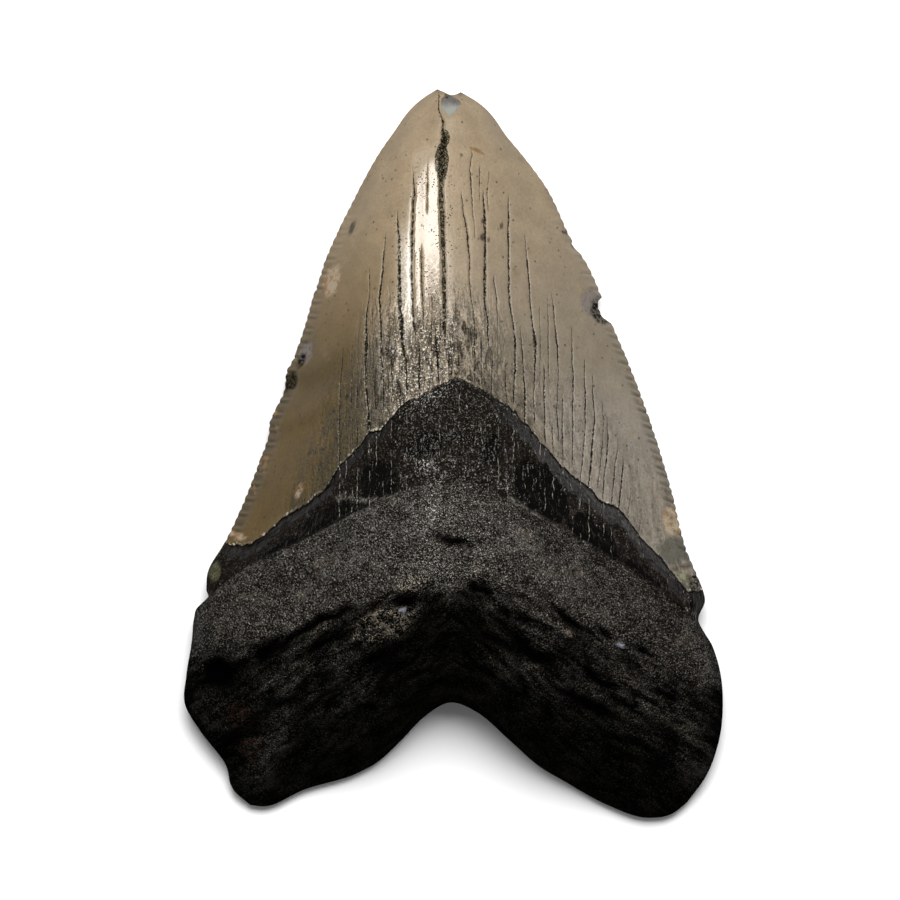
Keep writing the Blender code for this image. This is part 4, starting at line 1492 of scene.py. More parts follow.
class Graph:
    """Adds nodes to a material and links them."""

    def __init__(self, name: str) -> None:
        """Make an empty material.

        Args:
            name: Name of the material.
        """
        self.material = bpy.data.materials.new(name)
        self.material.use_nodes = True
        self.tree = self.material.node_tree
        self.tree.nodes.clear()

    def finished(self, surface: Socket) -> bpy.types.Material:
        """Give the material its surface and return it.

        Args:
            surface: The shader of its surface.

        Returns:
            The material.
        """
        output = self.tree.nodes.new("ShaderNodeOutputMaterial")
        self.tree.links.new(surface.output, output.inputs["Surface"])
        return self.material

    def node(
        self,
        kind: str,
        settings: dict[str, object] | None = None,
        inputs: dict[str | int, object] | None = None,
        output: str | int = 0,
    ) -> Socket:
        """Add a node.

        Args:
            kind: The node's type.
            settings: Properties to set first, such as a Math node's operation.
            inputs: Values or links for its input sockets.
            output: Which output to return.

        Returns:
            The wrapped output.
        """
        node = self.tree.nodes.new(kind)
        for key, value in (settings or {}).items():
            setattr(node, key, value)
        for key, value in (inputs or {}).items():
            if isinstance(value, Socket):
                self.tree.links.new(value.output, node.inputs[key])
            else:
                node.inputs[key].default_value = value
        return Socket(self, node.outputs[output])

    @cached_property
    def place(self) -> Socket:
        """Return the Object coordinates in millimetres."""
        place = self.node("ShaderNodeTexCoord", {}, {}, "Object")
        return self.node("ShaderNodeVectorMath", {"operation": "SCALE"}, {0: place, "Scale": 1.0 / MM})

    @cached_property
    def x(self) -> Socket:
        """Return the place across the tooth."""
        return self.node("ShaderNodeSeparateXYZ", {}, {0: self.place}, "X")

    @cached_property
    def y(self) -> Socket:
        """Return the place along the tooth."""
        return self.node("ShaderNodeSeparateXYZ", {}, {0: self.place}, "Y")

    def mask(self, mask: Mask) -> Socket:
        """Read one of the tooth's masks."""
        return self.node("ShaderNodeAttribute", {"attribute_name": mask.value}, {}, "Fac")

    def mix(self, factor: Socket | float, low: object, high: object) -> Socket:
        """Mix two colours: low where the factor is 0, high where it is 1."""
        settings = {"data_type": "RGBA", "clamp_factor": True}
        return self.node("ShaderNodeMix", settings, {0: factor, 6: low, 7: high}, 2)

    def cover(self, colour: object, *coats: tuple[Socket, object]) -> Socket:
        """Lay coats of colour over a colour, in order.

        Args:
            colour: The colour at the bottom.
            coats: How much of each coat there is, and its colour.

        Returns:
            The colour on top.
        """
        for amount, coat in coats:
            colour = self.mix(amount, colour, coat)
        return colour

    def tint(self, colour: Socket, factor: Socket) -> Socket:
        """Multiply a colour by a number that varies over the surface."""
        grey = self.node("ShaderNodeCombineXYZ", {}, {0: factor, 1: factor, 2: factor})
        return self.node("ShaderNodeVectorMath", {"operation": "MULTIPLY"}, {0: colour, 1: grey})

    def stretched(self, along: float, through: float = 1.0) -> Socket:
        """Return the places with their y and z scaled, which draws patterns out."""
        inputs = {0: self.place, 1: (1.0, along, through)}
        return self.node("ShaderNodeVectorMath", {"operation": "MULTIPLY"}, inputs)

    def noise(
        self,
        scale: float,
        detail: float = 2.0,
        rough: float = 0.5,
        along: float = 1.0,
        place: Socket | None = None,
    ) -> Socket:
        """Return noise from 0 to 1.

        Args:
            scale: Number of lumps in a millimetre.
            detail: How many finer layers the noise has.
            rough: How strong the finer layers are.
            along: Less than 1 draws the lumps out along the tooth.
            place: Where to read the noise, when it isn't at the surface's own place.

        Returns:
            The noise.
        """
        place = place or (self.place if along == 1.0 else self.stretched(along))
        inputs = {"Vector": place, "Scale": scale, "Detail": detail, "Roughness": rough}
        return self.node("ShaderNodeTexNoise", {"noise_dimensions": "3D"}, inputs, "Fac")

    def cells(self, scale: float) -> Socket:
        """Return the distance to the nearest of many scattered points."""
        inputs = {"Vector": self.place, "Scale": scale, "Randomness": 1.0}
        return self.node("ShaderNodeTexVoronoi", {"feature": "F1"}, inputs, "Distance")

    def from_crack(self, wobble: Socket) -> Socket:
        """Return the distance to the middle of the nearest crack, bent by a wobble."""
        count = self.mask(Mask.CRACK_COUNT)
        return ((count - count.rounded()) * CRACK_SPACING + wobble).size()


def blend(factor: Socket, low: Socket, high: Socket) -> Socket:
    """Mix two numbers: low where the factor is 0, high where it is 1."""
    return low + (high - low) * factor


def srgb(red: int, green: int, blue: int) -> Colour:
    """Turn a screen colour, 0 to 255, into the linear colour that shaders take.

    Args:
        red: Red.
        green: Green.
        blue: Blue.

    Returns:
        The colour, with an alpha of 1.
    """
    def linear(value: int) -> float:
        """Convert one channel."""
        share = value / 255.0
        return share / 12.92 if share <= 0.04045 else ((share + 0.055) / 1.055) ** 2.4

    return (linear(red), linear(green), linear(blue), 1.0)


# ---- Finishes ----


@dataclass(frozen=True)
class Layer:
    """What one zone of the tooth gives to the shader."""

    colour: Socket
    roughness: Socket
    height: Socket
    sheen: Socket


@dataclass(frozen=True)
class EnamelFinish:
    """Worn, stained enamel: tan at the tip and edges, greyer on the right, browner on the left."""

    tan: Colour = srgb(128, 112, 89)
    grey: Colour = srgb(104, 95, 81)
    brown: Colour = srgb(86, 70, 42)
    olive: Colour = srgb(56, 48, 30)
    low_centre: Colour = srgb(121, 110, 94)
    # painted highlight: a pale colour for the glints and for the band beside the crest strip
    wear_and_highlight: Colour = srgb(206, 198, 184)
    low_right: Colour = srgb(115, 108, 98)
    low_left: Colour = srgb(76, 60, 31)
    inner_left: Colour = srgb(50, 43, 24)
    edge: Colour = srgb(98, 89, 74)
    rib: Colour = srgb(128, 120, 106)
    gap: Colour = srgb(34, 29, 22)
    # pale flecks by the foot, and painted highlights on the crack walls
    fleck_and_highlight: Colour = srgb(190, 184, 166)
    speck: Colour = srgb(36, 29, 20)
    crack: Colour = srgb(9, 8, 6)
    rust: Colour = srgb(104, 78, 46)
    shell: Colour = srgb(118, 122, 118)
    shell_dark: Colour = srgb(62, 64, 67)
    shell_low: Colour = srgb(112, 108, 84)
    tar: Colour = srgb(24, 23, 15)
    tar_crumb: Colour = srgb(92, 87, 66)
    pale_chip: Colour = srgb(140, 127, 106)
    chip_spots: Colour = srgb(118, 80, 46)
    grey_chip: Colour = srgb(98, 91, 88)
    grey_low: Colour = srgb(66, 66, 58)
    dark_chip: Colour = srgb(12, 13, 11)
    dullness: float = 0.46
    strip_polish: float = 0.26
    crest_polish: float = 0.26
    beside_polish: float = 0.18

    def layer(self, graph: Graph, above_foot: Socket) -> Layer:
        """Make the enamel's part of the shader.

        Args:
            graph: The material's graph.
            above_foot: Height above the enamel's foot, in millimetres.

        Returns:
            Its colour, roughness, height and sheen.
        """
        x, y = graph.x, graph.y
        broad = graph.noise(0.06, 3.0)
        grain = graph.noise(2.9, 1.0)
        fine = graph.noise(2.2, 1.0, along=0.3)
        hairs = graph.noise(2.5, 1.0, along=0.09)
        coarse = graph.noise(1.5, 2.0, 0.6, 0.35)
        clump = graph.noise(0.55, 3.0, 0.6)
        crumb = graph.noise(4.0, 0.0)
        rough = (y + 4.0 * broad).step(27.0, 18.0) * x.near(-3.2, 12.0, 5.0)
        channels = graph.noise(1.5, 1.0, along=0.06).step(0.50, 0.36) * rough
        low = (y + 0.85 * x.size() + 8.0 * broad.centred()).step(30.0, 18.0)
        inner = (x - 0.32 * y + 3.0 * broad.centred()).step(-22.5, -19.0)
        side = inner * (x - 0.32 * y).step(-12.0, -16.0)
        low = low * (0.12 + 0.88 * inner) * (1.0 - 0.5 * (x + 0.4 * y).step(10.0, 17.0))

        # The stained ground, with the grain of the rough zone on the crest.
        colour = self.zones(graph, broad)
        colour = self.streaks(graph, low * (1.0 + 0.6 * side), colour)
        colour = self.specks(graph, colour)
        mottle = 0.70 + 0.60 * graph.noise(0.35, 4.0, 0.6)
        stipple = grain.centred() * (0.4 + 1.2 * rough + 0.7 * low)
        stipple = stipple + hairs.centred() * (1.3 * low + 0.9 * rough)
        stipple = stipple + (1.2 * coarse.centred() - 0.25 * clump.step(0.56, 0.68)) * rough
        stipple = stipple - 0.4 * channels
        colour = graph.tint(colour, mottle * (1.0 + stipple))
        pitted = self.pits(graph)
        colour = self.edges(graph, graph.mix(pitted * 0.8, colour, self.speck))

        # Cracks with crumbs in their cores, painted highlights beaded along their walls, painted glints,
        # and pale flecks by the enamel's foot.
        crumbs = graph.noise(2.0, 1.0) + 0.10 * x.step(4.0, -8.0)
        flecks = above_foot.step(0.46, 0.14) * crumbs.step(0.55, 0.64)
        flecks = flecks * (0.15 + 0.85 * graph.noise(0.6, 1.0).step(0.44, 0.56))
        core, wall = self.crack_lines(graph)
        thin = self.thin_lines(graph, low)
        width = graph.mask(Mask.CRACK_WIDTH)
        # Painted highlights in beads along the crack walls, where the walls would catch the light.
        rim_glints = wall * crumb.step(0.54, 0.64) * (0.5 + 0.45 * low + 0.4 * rough)
        rim_glints = rim_glints * (0.3 + 0.7 * width.step(0.16, 0.36))
        # Painted glints: the pale highlight colour scattered over the rough zone on the crest.
        glints = (0.7 * crumb + 0.3 * coarse).step(0.57, 0.66) * rough * x.near(-4.5, 6.0, 3.0)
        filling = crumb.step(0.48, 0.70) * width.step(0.25, 0.7) * 0.55

        # The polished strip along the crest, and the band beside it, painted with a pale highlight colour.
        wear_and_highlight = (0.3 * coarse + 0.7 * grain).step(0.42, 0.58)
        stippled = x.near(-2.3, 1.7, 0.8) * y.step(30.0, 24.0) + y.step(21.0, 15.0)
        strip = x.near(-3.7, 3.2, 1.8) * (y - 2.1 * (x + 3.6)).step(42.4, 39.4)
        strip = strip * y.step(41.8, 39.8) * (0.62 + 0.38 * y.step(16.0, 27.0))
        strip = strip * (1.0 - stippled.clamped() * (0.15 + 0.55 * wear_and_highlight))
        # The band left of the strip, and a faint one right of the main crack, are painted with the pale
        # highlight colour.
        beside = x.near(-6.6, 1.2, 0.8) + 0.15 * x.near(-0.9, 1.0, 0.4)
        beside = beside * y.step(34.0, 26.0) * y.step(14.0, 20.0)
        colour = graph.cover(
            colour,
            (flecks * 0.7, self.fleck_and_highlight),
            (thin * (0.85 - 0.5 * rough), self.crack),
            (rim_glints.clamped(), self.fleck_and_highlight),
            (glints * 0.75, self.wear_and_highlight),
            (core, graph.mix(filling, self.crack, self.tar_crumb)),
            (beside * (1.0 - 0.6 * wear_and_highlight) * (1.0 - core) * 0.8, self.wear_and_highlight),
        )

        gloss = rough * x.near(-3.8, 7.0, 3.0)
        roughness = self.dullness + 0.10 * fine - self.strip_polish * strip
        roughness = roughness - self.crest_polish * gloss * (1.0 - strip) - self.beside_polish * beside
        height = grain * (0.025 + 0.20 * rough + 0.10 * low) + hairs * (0.08 * low + 0.16 * rough)
        height = height + 0.55 * coarse * rough + 0.06 * rim_glints - 0.4 * channels
        height = (height + 0.03 * fine) * (1.0 - 0.7 * strip)
        height = height - 0.10 * wall - 0.12 * core - 0.05 * thin - 0.14 * pitted
        height = height - 0.25 * graph.mask(Mask.RIB) + 0.10 * flecks
        dark_chip = graph.mask(Mask.DARK_CHIP)
        sheen = (1.0 - 0.8 * dark_chip) * (1.0 - 0.85 * core) * (1.0 - 0.6 * pitted)
        sheen = sheen * (1.0 - 0.8 * self.tar_spread(graph))
        sheen = sheen * (0.5 + 0.5 * strip + 0.8 * rough + 0.5 * beside)
        sheen = sheen * (1.0 - 0.5 * rough * (1.0 - (coarse + 0.6 * clump.centred()).step(0.38, 0.50)))
        sheen = sheen * (1.0 - 0.7 * channels)
        return Layer(colour, roughness + 0.3 * core + 0.2 * pitted, height, sheen.clamped())

    def zones(self, graph: Graph, broad: Socket) -> Socket:
        """Colour the large zones of the crown.

        Args:
            graph: The material's graph.
            broad: Noise with very large lumps.

        Returns:
            The colour of the zones.
        """
        x, y = graph.x, graph.y
        left = (x + 14.0 * broad.centred()).step(0.5, -15.0)
        right = (x + 12.0 * broad.centred()).step(-2.0, 9.0)
        high = (y + 16.0 * broad.centred()).step(12.0, 40.0)
        deep = (y + 0.3 * x.size()).step(27.0, 13.0) * x.near(-4.0, 11.0, 5.0)
        inner_left = x.step(-6.0, -11.0) * y.step(20.0, 8.0)
        low_left = (x - 0.32 * y + 5.0 * broad.centred()).step(-17.0, -20.0) * y.step(16.0, 4.0)
        low_right = (x + 0.4 * y).step(11.0, 17.0) * y.step(14.0, 4.0)
        shade = x.near(4.5, 6.0, 2.5) * y.step(22.0, 13.0)
        return graph.cover(
            self.tan,
            (right * (1.0 - 0.7 * high), self.grey),
            (left * (1.0 - 0.9 * high), self.brown),
            (deep * 0.9, self.low_centre),
            (inner_left * 0.8, self.inner_left),
            (low_left * 0.9, self.low_left),
            (low_right * 0.85, self.low_right),
            (shade * 0.28, self.olive),
        )

    def streaks(self, graph: Graph, low: Socket, colour: Socket) -> Socket:
        """Stain the lower crown with dark streaks that run along the tooth.

        Args:
            graph: The material's graph.
            low: How far down the crown the place is, from 0 to 1.
            colour: The colour so far.

        Returns:
            The stained colour.
        """
        lines = graph.noise(1.1, 3.0, 0.65, 0.045)
        stain = lines.step(0.42, 0.62) * low * (0.45 + 1.0 * graph.noise(0.12, 2.0))
        return graph.mix(stain.clamped() * 0.75, colour, self.olive)

    def specks(self, graph: Graph, colour: Socket) -> Socket:
        """Scatter small dark pits and rusty marks.

        Args:
            graph: The material's graph.
            colour: The colour so far.

        Returns:
            The colour with its specks.
        """
        dark = graph.cells(0.95).step(0.22, 0.10) * graph.noise(0.5, 2.0).step(0.40, 0.60)
        rust = graph.noise(0.42, 3.0, 0.65).step(0.62, 0.76)
        return graph.cover(colour, (dark * 0.75, self.speck), (rust * 0.45, self.rust))

    def tar_spread(self, graph: Graph) -> Socket:
        """Return where the dark stain along the crack near the tip lies."""
        return (graph.mask(Mask.TAR) + 1.8 * graph.noise(1.3, 3.0, 0.75).centred()).step(0.35, 0.70)

    def pits(self, graph: Graph) -> Socket:
        """Return the small pits that pepper the crest of the crown.

        Args:
            graph: The material's graph.

        Returns:
            1 in a pit and 0 beside it.
        """
        zone = graph.x.near(-3.6, 6.5, 3.0) * graph.y.step(43.0, 38.0)
        crowd = graph.noise(0.45, 3.0, 0.6)
        return graph.cells(2.7).step(0.28, 0.14) * crowd.step(0.48, 0.62) * zone

    def thin_lines(self, graph: Graph, low: Socket) -> Socket:
        """Return the hair-thin dark lines of the lower crown.

        Args:
            graph: The material's graph.
            low: How far down the crown the place is, from 0 to 1.

        Returns:
            1 on a line and 0 beside it.
        """
        first = graph.noise(1.5, 2.0, 0.5, 0.03)
        second = graph.noise(2.1, 1.0, place=graph.stretched(0.035, 0.9))
        breaks = graph.noise(0.8, 3.0, 0.7, 0.5).step(0.42, 0.56)
        dashes = graph.noise(2.6, 1.0).step(0.34, 0.56)
        one = (first.centred().size() * 24.0).step(1.0, 0.2)
        two = ((second - 0.55).size() * 20.0).step(1.0, 0.2)
        return ((one + two).clamped() * breaks * dashes * low).clamped()

    def crack_lines(self, graph: Graph) -> tuple[Socket, Socket]:
        """Return the dark cores of the cracks and the sloping walls beside them.

        Args:
            graph: The material's graph.

        Returns:
            The cores and the walls, each from 0 to 1.
        """
        away = graph.from_crack(0.22 * graph.noise(2.0, 2.0, 0.6).centred())
        jags = 0.65 * graph.noise(3.4, 1.0).centred()
        width = graph.mask(Mask.CRACK_WIDTH)
        half = width * (0.30 + 0.16 * width.clamped()) + jags * width.clamped()
        dashes = graph.noise(1.9, 2.0, 0.6).step(0.26, 0.52)
        open_part = width.step(0.024, 0.10) * (0.30 + 0.70 * dashes)
        core = ((half * 1.25 - away) / (half.size() * 0.4 + 0.03)).clamped() * open_part
        wall = (1.0 - away / (width * 0.5 + 0.16)).clamped() * width.step(0.02, 0.24)
        return core, wall

    def edges(self, graph: Graph, colour: Socket) -> Socket:
        """Colour the cutting edges, the gaps of the serrations and the chips.

        Args:
            graph: The material's graph.
            colour: The colour so far.

        Returns:
            The colour with all of them.
        """
        x, y = graph.x, graph.y
        margin = graph.mask(Mask.MARGIN)
        cloud = graph.noise(0.22, 3.0)
        patch = graph.noise(0.55, 2.0)
        spots = graph.noise(1.1, 3.0, 0.65)
        crumbs = graph.noise(2.6, 1.0)
        grit = graph.noise(4.2, 0.0)
        pale_side = 0.1 + 0.28 * (x + 0.4 * y).step(-16.0, 8.0)
        wear_and_highlight = (y + 24.0 * patch.centred()).step(38.0, 20.0)
        rib_side = 0.25 + 0.75 * x.step(-5.0, 5.0)
        fade = 0.15 + 0.85 * (y + 20.0 * patch.centred()).step(26.0, 5.0)
        ribs = graph.mask(Mask.RIB) * (0.1 + 1.3 * patch) * fade
        gap = graph.mix(patch.step(0.60, 0.66), self.gap, self.rust)
        pale = graph.mix(spots.step(0.46, 0.60) * 0.8, self.pale_chip, self.chip_spots)
        grey = graph.mix(y.step(4.0, -4.0), self.grey_chip, self.grey_low)
        grey = graph.mix(spots.step(0.48, 0.62) * 0.6, grey, self.olive)
        shell = graph.mix((y + 1.5 * spots.centred()).step(48.2, 49.6), self.shell, self.shell_dark)
        shell_low = graph.mix(spots.step(0.56, 0.40), self.shell_low, self.grey_low)
        shell = graph.mix(y.step(4.0, -4.0), shell, shell_low)
        tar = graph.mix(grit.step(0.56, 0.72), self.tar, self.tar_crumb)
        return graph.cover(
            colour,
            (margin * cloud.step(0.35, 0.6) * pale_side, self.edge),
            (margin.step(0.62, 0.92) * wear_and_highlight * patch * 0.6 * rib_side, self.rib),
            (ribs.clamped(), gap),
            (graph.mask(Mask.PALE_CHIP) * 0.85, pale),
            (graph.mask(Mask.GREY_CHIP) * 0.8, grey),
            (graph.mask(Mask.STAIN) * (0.4 + 0.8 * spots), self.speck),
            (graph.mask(Mask.SHELL_CHIP) * 0.85, shell),
            ((graph.mask(Mask.RUST) * (0.5 + spots)).clamped(), self.rust),
            (self.tar_spread(graph) * grit.step(0.24, 0.44), tar),
            (graph.mask(Mask.DARK_CHIP) * (0.35 + 0.65 * crumbs.step(0.62, 0.40)), self.dark_chip),
        )


@dataclass(frozen=True)
class BourletteFinish:
    """The flaked black band between the enamel and the root.

    A smooth grey strip lies under the enamel's foot, with a painted shadow along its top. Below it the
    band is dark and streaked, with glossy black flakes, and the middle is rough. The cracks of the enamel
    run on as pale lines, painted as highlights along thin ridges, and painted glints speckle the band.
    """

    strip: Colour = srgb(29, 28, 28)
    dark: Colour = srgb(17, 14, 10)
    brown: Colour = srgb(20, 16, 13)
    flake: Colour = srgb(2, 2, 1)
    centre: Colour = srgb(18, 15, 11)
    # painted glints
    glint: Colour = srgb(158, 154, 146)
    olive: Colour = srgb(62, 62, 44)
    # painted highlight for the pale lines and seams along their thin ridges
    ridge_highlight: Colour = srgb(132, 128, 119)
    # near black: the dark joints of the strip, and the painted shadow under the enamel's step
    joint_and_shadow: Colour = srgb(2, 2, 2)
    dullness: float = 0.20
    line_half_width: float = 0.065

    def layer(self, graph: Graph, above_foot: Socket) -> Layer:
        """Make the bourlette's part of the shader.

        Args:
            graph: The material's graph.
            above_foot: Height above the enamel's foot, in millimetres.

        Returns:
            Its colour, roughness, height and sheen.
        """
        x = graph.x
        below = 0.0 - above_foot
        ragged = graph.noise(0.9, 3.0, 0.6, 0.6)
        patch = graph.noise(0.3, 3.0)
        streak = graph.noise(2.0, 1.0, along=0.16)
        grain = graph.noise(2.7, 1.0, along=0.7)
        fine = graph.noise(4.2, 0.0)
        lump = graph.noise(0.8, 2.0, 0.6)
        blocks = graph.noise(0.8, 2.0, 0.6, 0.05)
        thread = graph.noise(4.0, 0.0, along=0.35)
        spark = graph.mask(Mask.SPARK)
        middle = (x + 1.0 + 6.0 * patch.centred()).size().step(10.0, 5.5)
        right = x.step(-6.0, 6.0)
        strip = (below + 2.4 * ragged.centred() - 0.7 * right).step(2.0, 1.5) * (1.0 - middle)
        strip = strip * x.size().step(33.0, 30.0)
        flake = 1.2 * graph.mask(Mask.FLAKE) + 0.7 * ragged.centred() + 1.1 * blocks.centred()
        flake = flake.step(0.38, 0.46) * graph.mask(Mask.FLAKE).step(0.05, 0.2) * (1.0 - strip)
        level = 0.6 * thread + 0.4 * grain + 0.7 * lump.centred() + 0.5 * streak.centred()
        level = level + 0.24 * spark - 0.06 * x.step(0.0, -10.0) + 0.04 * x.step(6.0, 14.0)
        crest = level.step(0.50, 0.80)
        colour = graph.cover(
            graph.mix(patch.step(0.42, 0.62), self.dark, self.brown),
            (middle, self.centre),
            (strip * (0.1 + 0.9 * streak + 0.4 * right), self.strip),
            (graph.mask(Mask.EARTH) * 0.8, self.olive),
        )
        # Painted glints: pale specks, most where the band sparkles.
        glint = fine.step(0.62, 0.74) * (0.05 + 0.10 * middle + 0.8 * spark) * (1.0 - strip)
        joint = self.joints(graph) * strip
        line = self.pale_lines(graph)
        seam = graph.mask(Mask.SEAM) * grain.step(0.36, 0.60)
        # A painted shadow along the top of the band, under the enamel's step.
        shade = (below + 0.9 * ragged.centred()).step(0.45, 0.05) * 0.75
        colour = graph.cover(
            graph.tint(colour, 0.1 + 0.9 * grain + 0.9 * fine),
            (glint.clamped(), self.glint),
            (flake * 0.95, self.flake),
            (joint * 0.8, self.joint_and_shadow),
            # The pale lines and seams: painted highlights along thin raised ridges.
            ((line + seam * 0.55).clamped(), self.ridge_highlight),
            (shade, self.joint_and_shadow),
        )
        roughness = self.dullness + 0.08 * grain + 0.16 * strip - 0.04 * flake
        height = grain * (0.12 + 0.20 * middle) * (1.0 - 0.7 * flake) * (1.0 - 0.6 * strip)
        height = height + streak * (0.16 - 0.08 * strip) + 0.6 * lump * middle + 0.25 * ragged
        height = height + 0.05 * fine
        height = height + 0.16 * strip - 0.14 * flake + 0.06 * line + 0.08 * seam - 0.05 * joint
        sheen = 0.04 + 0.64 * crest
        sheen = sheen + (0.18 - sheen) * flake
        band = 0.5 * streak + right * (1.1 * thread - 0.3) * (1.0 - 0.5 * x.step(20.0, 31.0))
        sheen = blend(strip, sheen, band)
        return Layer(colour, roughness, height, (sheen * (1.0 - shade)).clamped())

    def joints(self, graph: Graph) -> Socket:
        """Return the fine joints that split the strip into slanting blocks.

        Args:
            graph: The material's graph.

        Returns:
            1 on a joint and 0 beside it.
        """
        inputs = {"Vector": graph.stretched(0.7), "Scale": 0.3}
        kind = "ShaderNodeTexVoronoi"
        return graph.node(kind, {"feature": "DISTANCE_TO_EDGE"}, inputs, "Distance").step(0.05, 0.01)

    def pale_lines(self, graph: Graph) -> Socket:
        """Return the thin pale lines that run down the band, in line with the cracks.

        Args:
            graph: The material's graph.

        Returns:
            1 on a line and 0 beside it.
        """
        away = graph.from_crack(0.7 * graph.noise(0.8, 2.0, 0.6).centred())
        gaps = graph.noise(0.7, 3.0, 0.7, 0.22)
        gaps = gaps - 0.10 * graph.x.step(-9.0, -3.0) + 0.04 * graph.x.step(4.0, 10.0) + 0.01
        dashes = graph.noise(2.2, 1.0).step(0.34, 0.60)
        return (away / self.line_half_width).step(1.0, 0.3) * gaps.step(0.46, 0.54) * dashes


@dataclass(frozen=True)
class RootFinish:
    """The granular, charcoal root, blacker and duller where its lobes turn down."""

    # charcoal for the upper root and the lit zones; black and soot for the lower root, partly painted
    # shade
    charcoal: Colour = srgb(30, 27, 22)
    # pale grains, brightened into painted sparkle on the lit upper root
    pale_grain_and_glint: Colour = srgb(101, 97, 90)
    black: Colour = srgb(6, 6, 4)
    soot: Colour = srgb(13, 12, 10)
    # painted glints
    glint: Colour = srgb(176, 172, 164)
    earth: Colour = srgb(108, 98, 82)
    red_earth: Colour = srgb(40, 25, 19)
    pale: Colour = srgb(128, 130, 138)
    # near black: painted shade in the furrows, grooves and pits
    pit: Colour = srgb(1, 1, 1)
    dullness: float = 0.22
    vein_turn: float = 36.0
    vein_stretch: float = 0.22

    def layer(self, graph: Graph) -> Layer:
        """Make the root's part of the shader.

        Args:
            graph: The material's graph.

        Returns:
            Its colour, roughness, height and sheen.
        """
        x = graph.x
        upper = graph.mask(Mask.UPPER)
        spark = graph.mask(Mask.SPARK)
        hollow = graph.mask(Mask.HOLLOW)
        earth = graph.mask(Mask.EARTH)
        patch = graph.noise(0.22, 4.0, 0.6)
        lump = graph.noise(0.8, 2.0, 0.6)
        grit = graph.noise(3.0, 1.0)
        fine = graph.noise(4.6, 0.0)
        veins = self.veins(graph)
        rough = hollow.step(0.0, 0.3) + upper.step(0.98, 0.7)
        level = 0.40 * grit + 0.60 * fine + 0.55 * lump.centred() + 0.3 * patch.centred() + 0.12 * spark
        crest = (level + (1.1 * rough.clamped() + 0.12) * veins.centred()).step(0.30, 0.80)
        low = graph.mix(patch.step(0.42, 0.66), self.black, self.soot)
        # Charcoal where the root faces the light, black where it turns away: partly the root's own black,
        # partly painted light and shade.
        colour = graph.mix(upper, low, self.charcoal)
        sides = x.step(12.0, 32.0) + 0.7 * x.step(-22.0, -35.0)
        # Pale specks and glints: partly pale grain, mostly painted sparkle, strongest on the lit upper
        # root and where it sparkles.
        bright = fine.step(0.60, 0.76) * (0.3 + 0.7 * crest) * (0.06 + 0.5 * upper + 1.3 * spark)
        glint = fine.step(0.62, 0.72) * spark.step(0.35, 1.0) * (0.3 + 0.7 * crest)
        earthy = earth * (0.3 * grit + 0.7 * fine + 0.8 * lump.centred()).step(0.46, 0.70) * 0.75
        earthy = earthy + patch.step(0.60, 0.76) * 0.25 * upper
        red = graph.mask(Mask.RED_EARTH) * (grit + lump - 0.5).step(0.44, 0.66)
        # Painted light on the grain's crests and painted shade in its pits; darker towards the sides.
        colour = graph.cover(
            graph.tint(colour, (0.3 + 1.5 * crest) * (1.0 - 0.3 * sides)),
            (bright.clamped(), self.pale_grain_and_glint),
            (glint, self.glint),
            (earthy.clamped(), self.earth),
            (red * 0.5, self.red_earth),
            (graph.mask(Mask.PALE_CHIP), self.pale),
            # Painted shade, near black, in the furrows, grooves and pits.
            ((hollow * 1.2).clamped(), self.pit),
        )
        roughness = self.dullness + 0.2 * hollow - 0.05 * spark
        height = grit * (0.36 + 0.2 * spark) + fine * 0.16 + 0.3 * lump + 0.35 * veins
        sheen = 0.90 * upper * (1.0 - 0.55 * sides) + 1.6 * spark + 0.8 * earth
        sheen = sheen * (0.03 + 0.97 * crest) * (1.0 - hollow)
        return Layer(colour, roughness, height, sheen.clamped())

    def veins(self, graph: Graph) -> Socket:
        """Return the fine grain that runs outwards and down from the root's crest.

        Args:
            graph: The material's graph.

        Returns:
            Noise from 0 to 1.
        """
        turn = math.radians(self.vein_turn)
        along = graph.x.size() * math.cos(turn) - graph.y * math.sin(turn)
        across = graph.x.size() * math.sin(turn) + graph.y * math.cos(turn)
        lines = graph.node("ShaderNodeCombineXYZ", {}, {0: across, 1: along * self.vein_stretch, 2: 0.0})
        return graph.noise(0.9, 3.0, 0.7, place=lines)


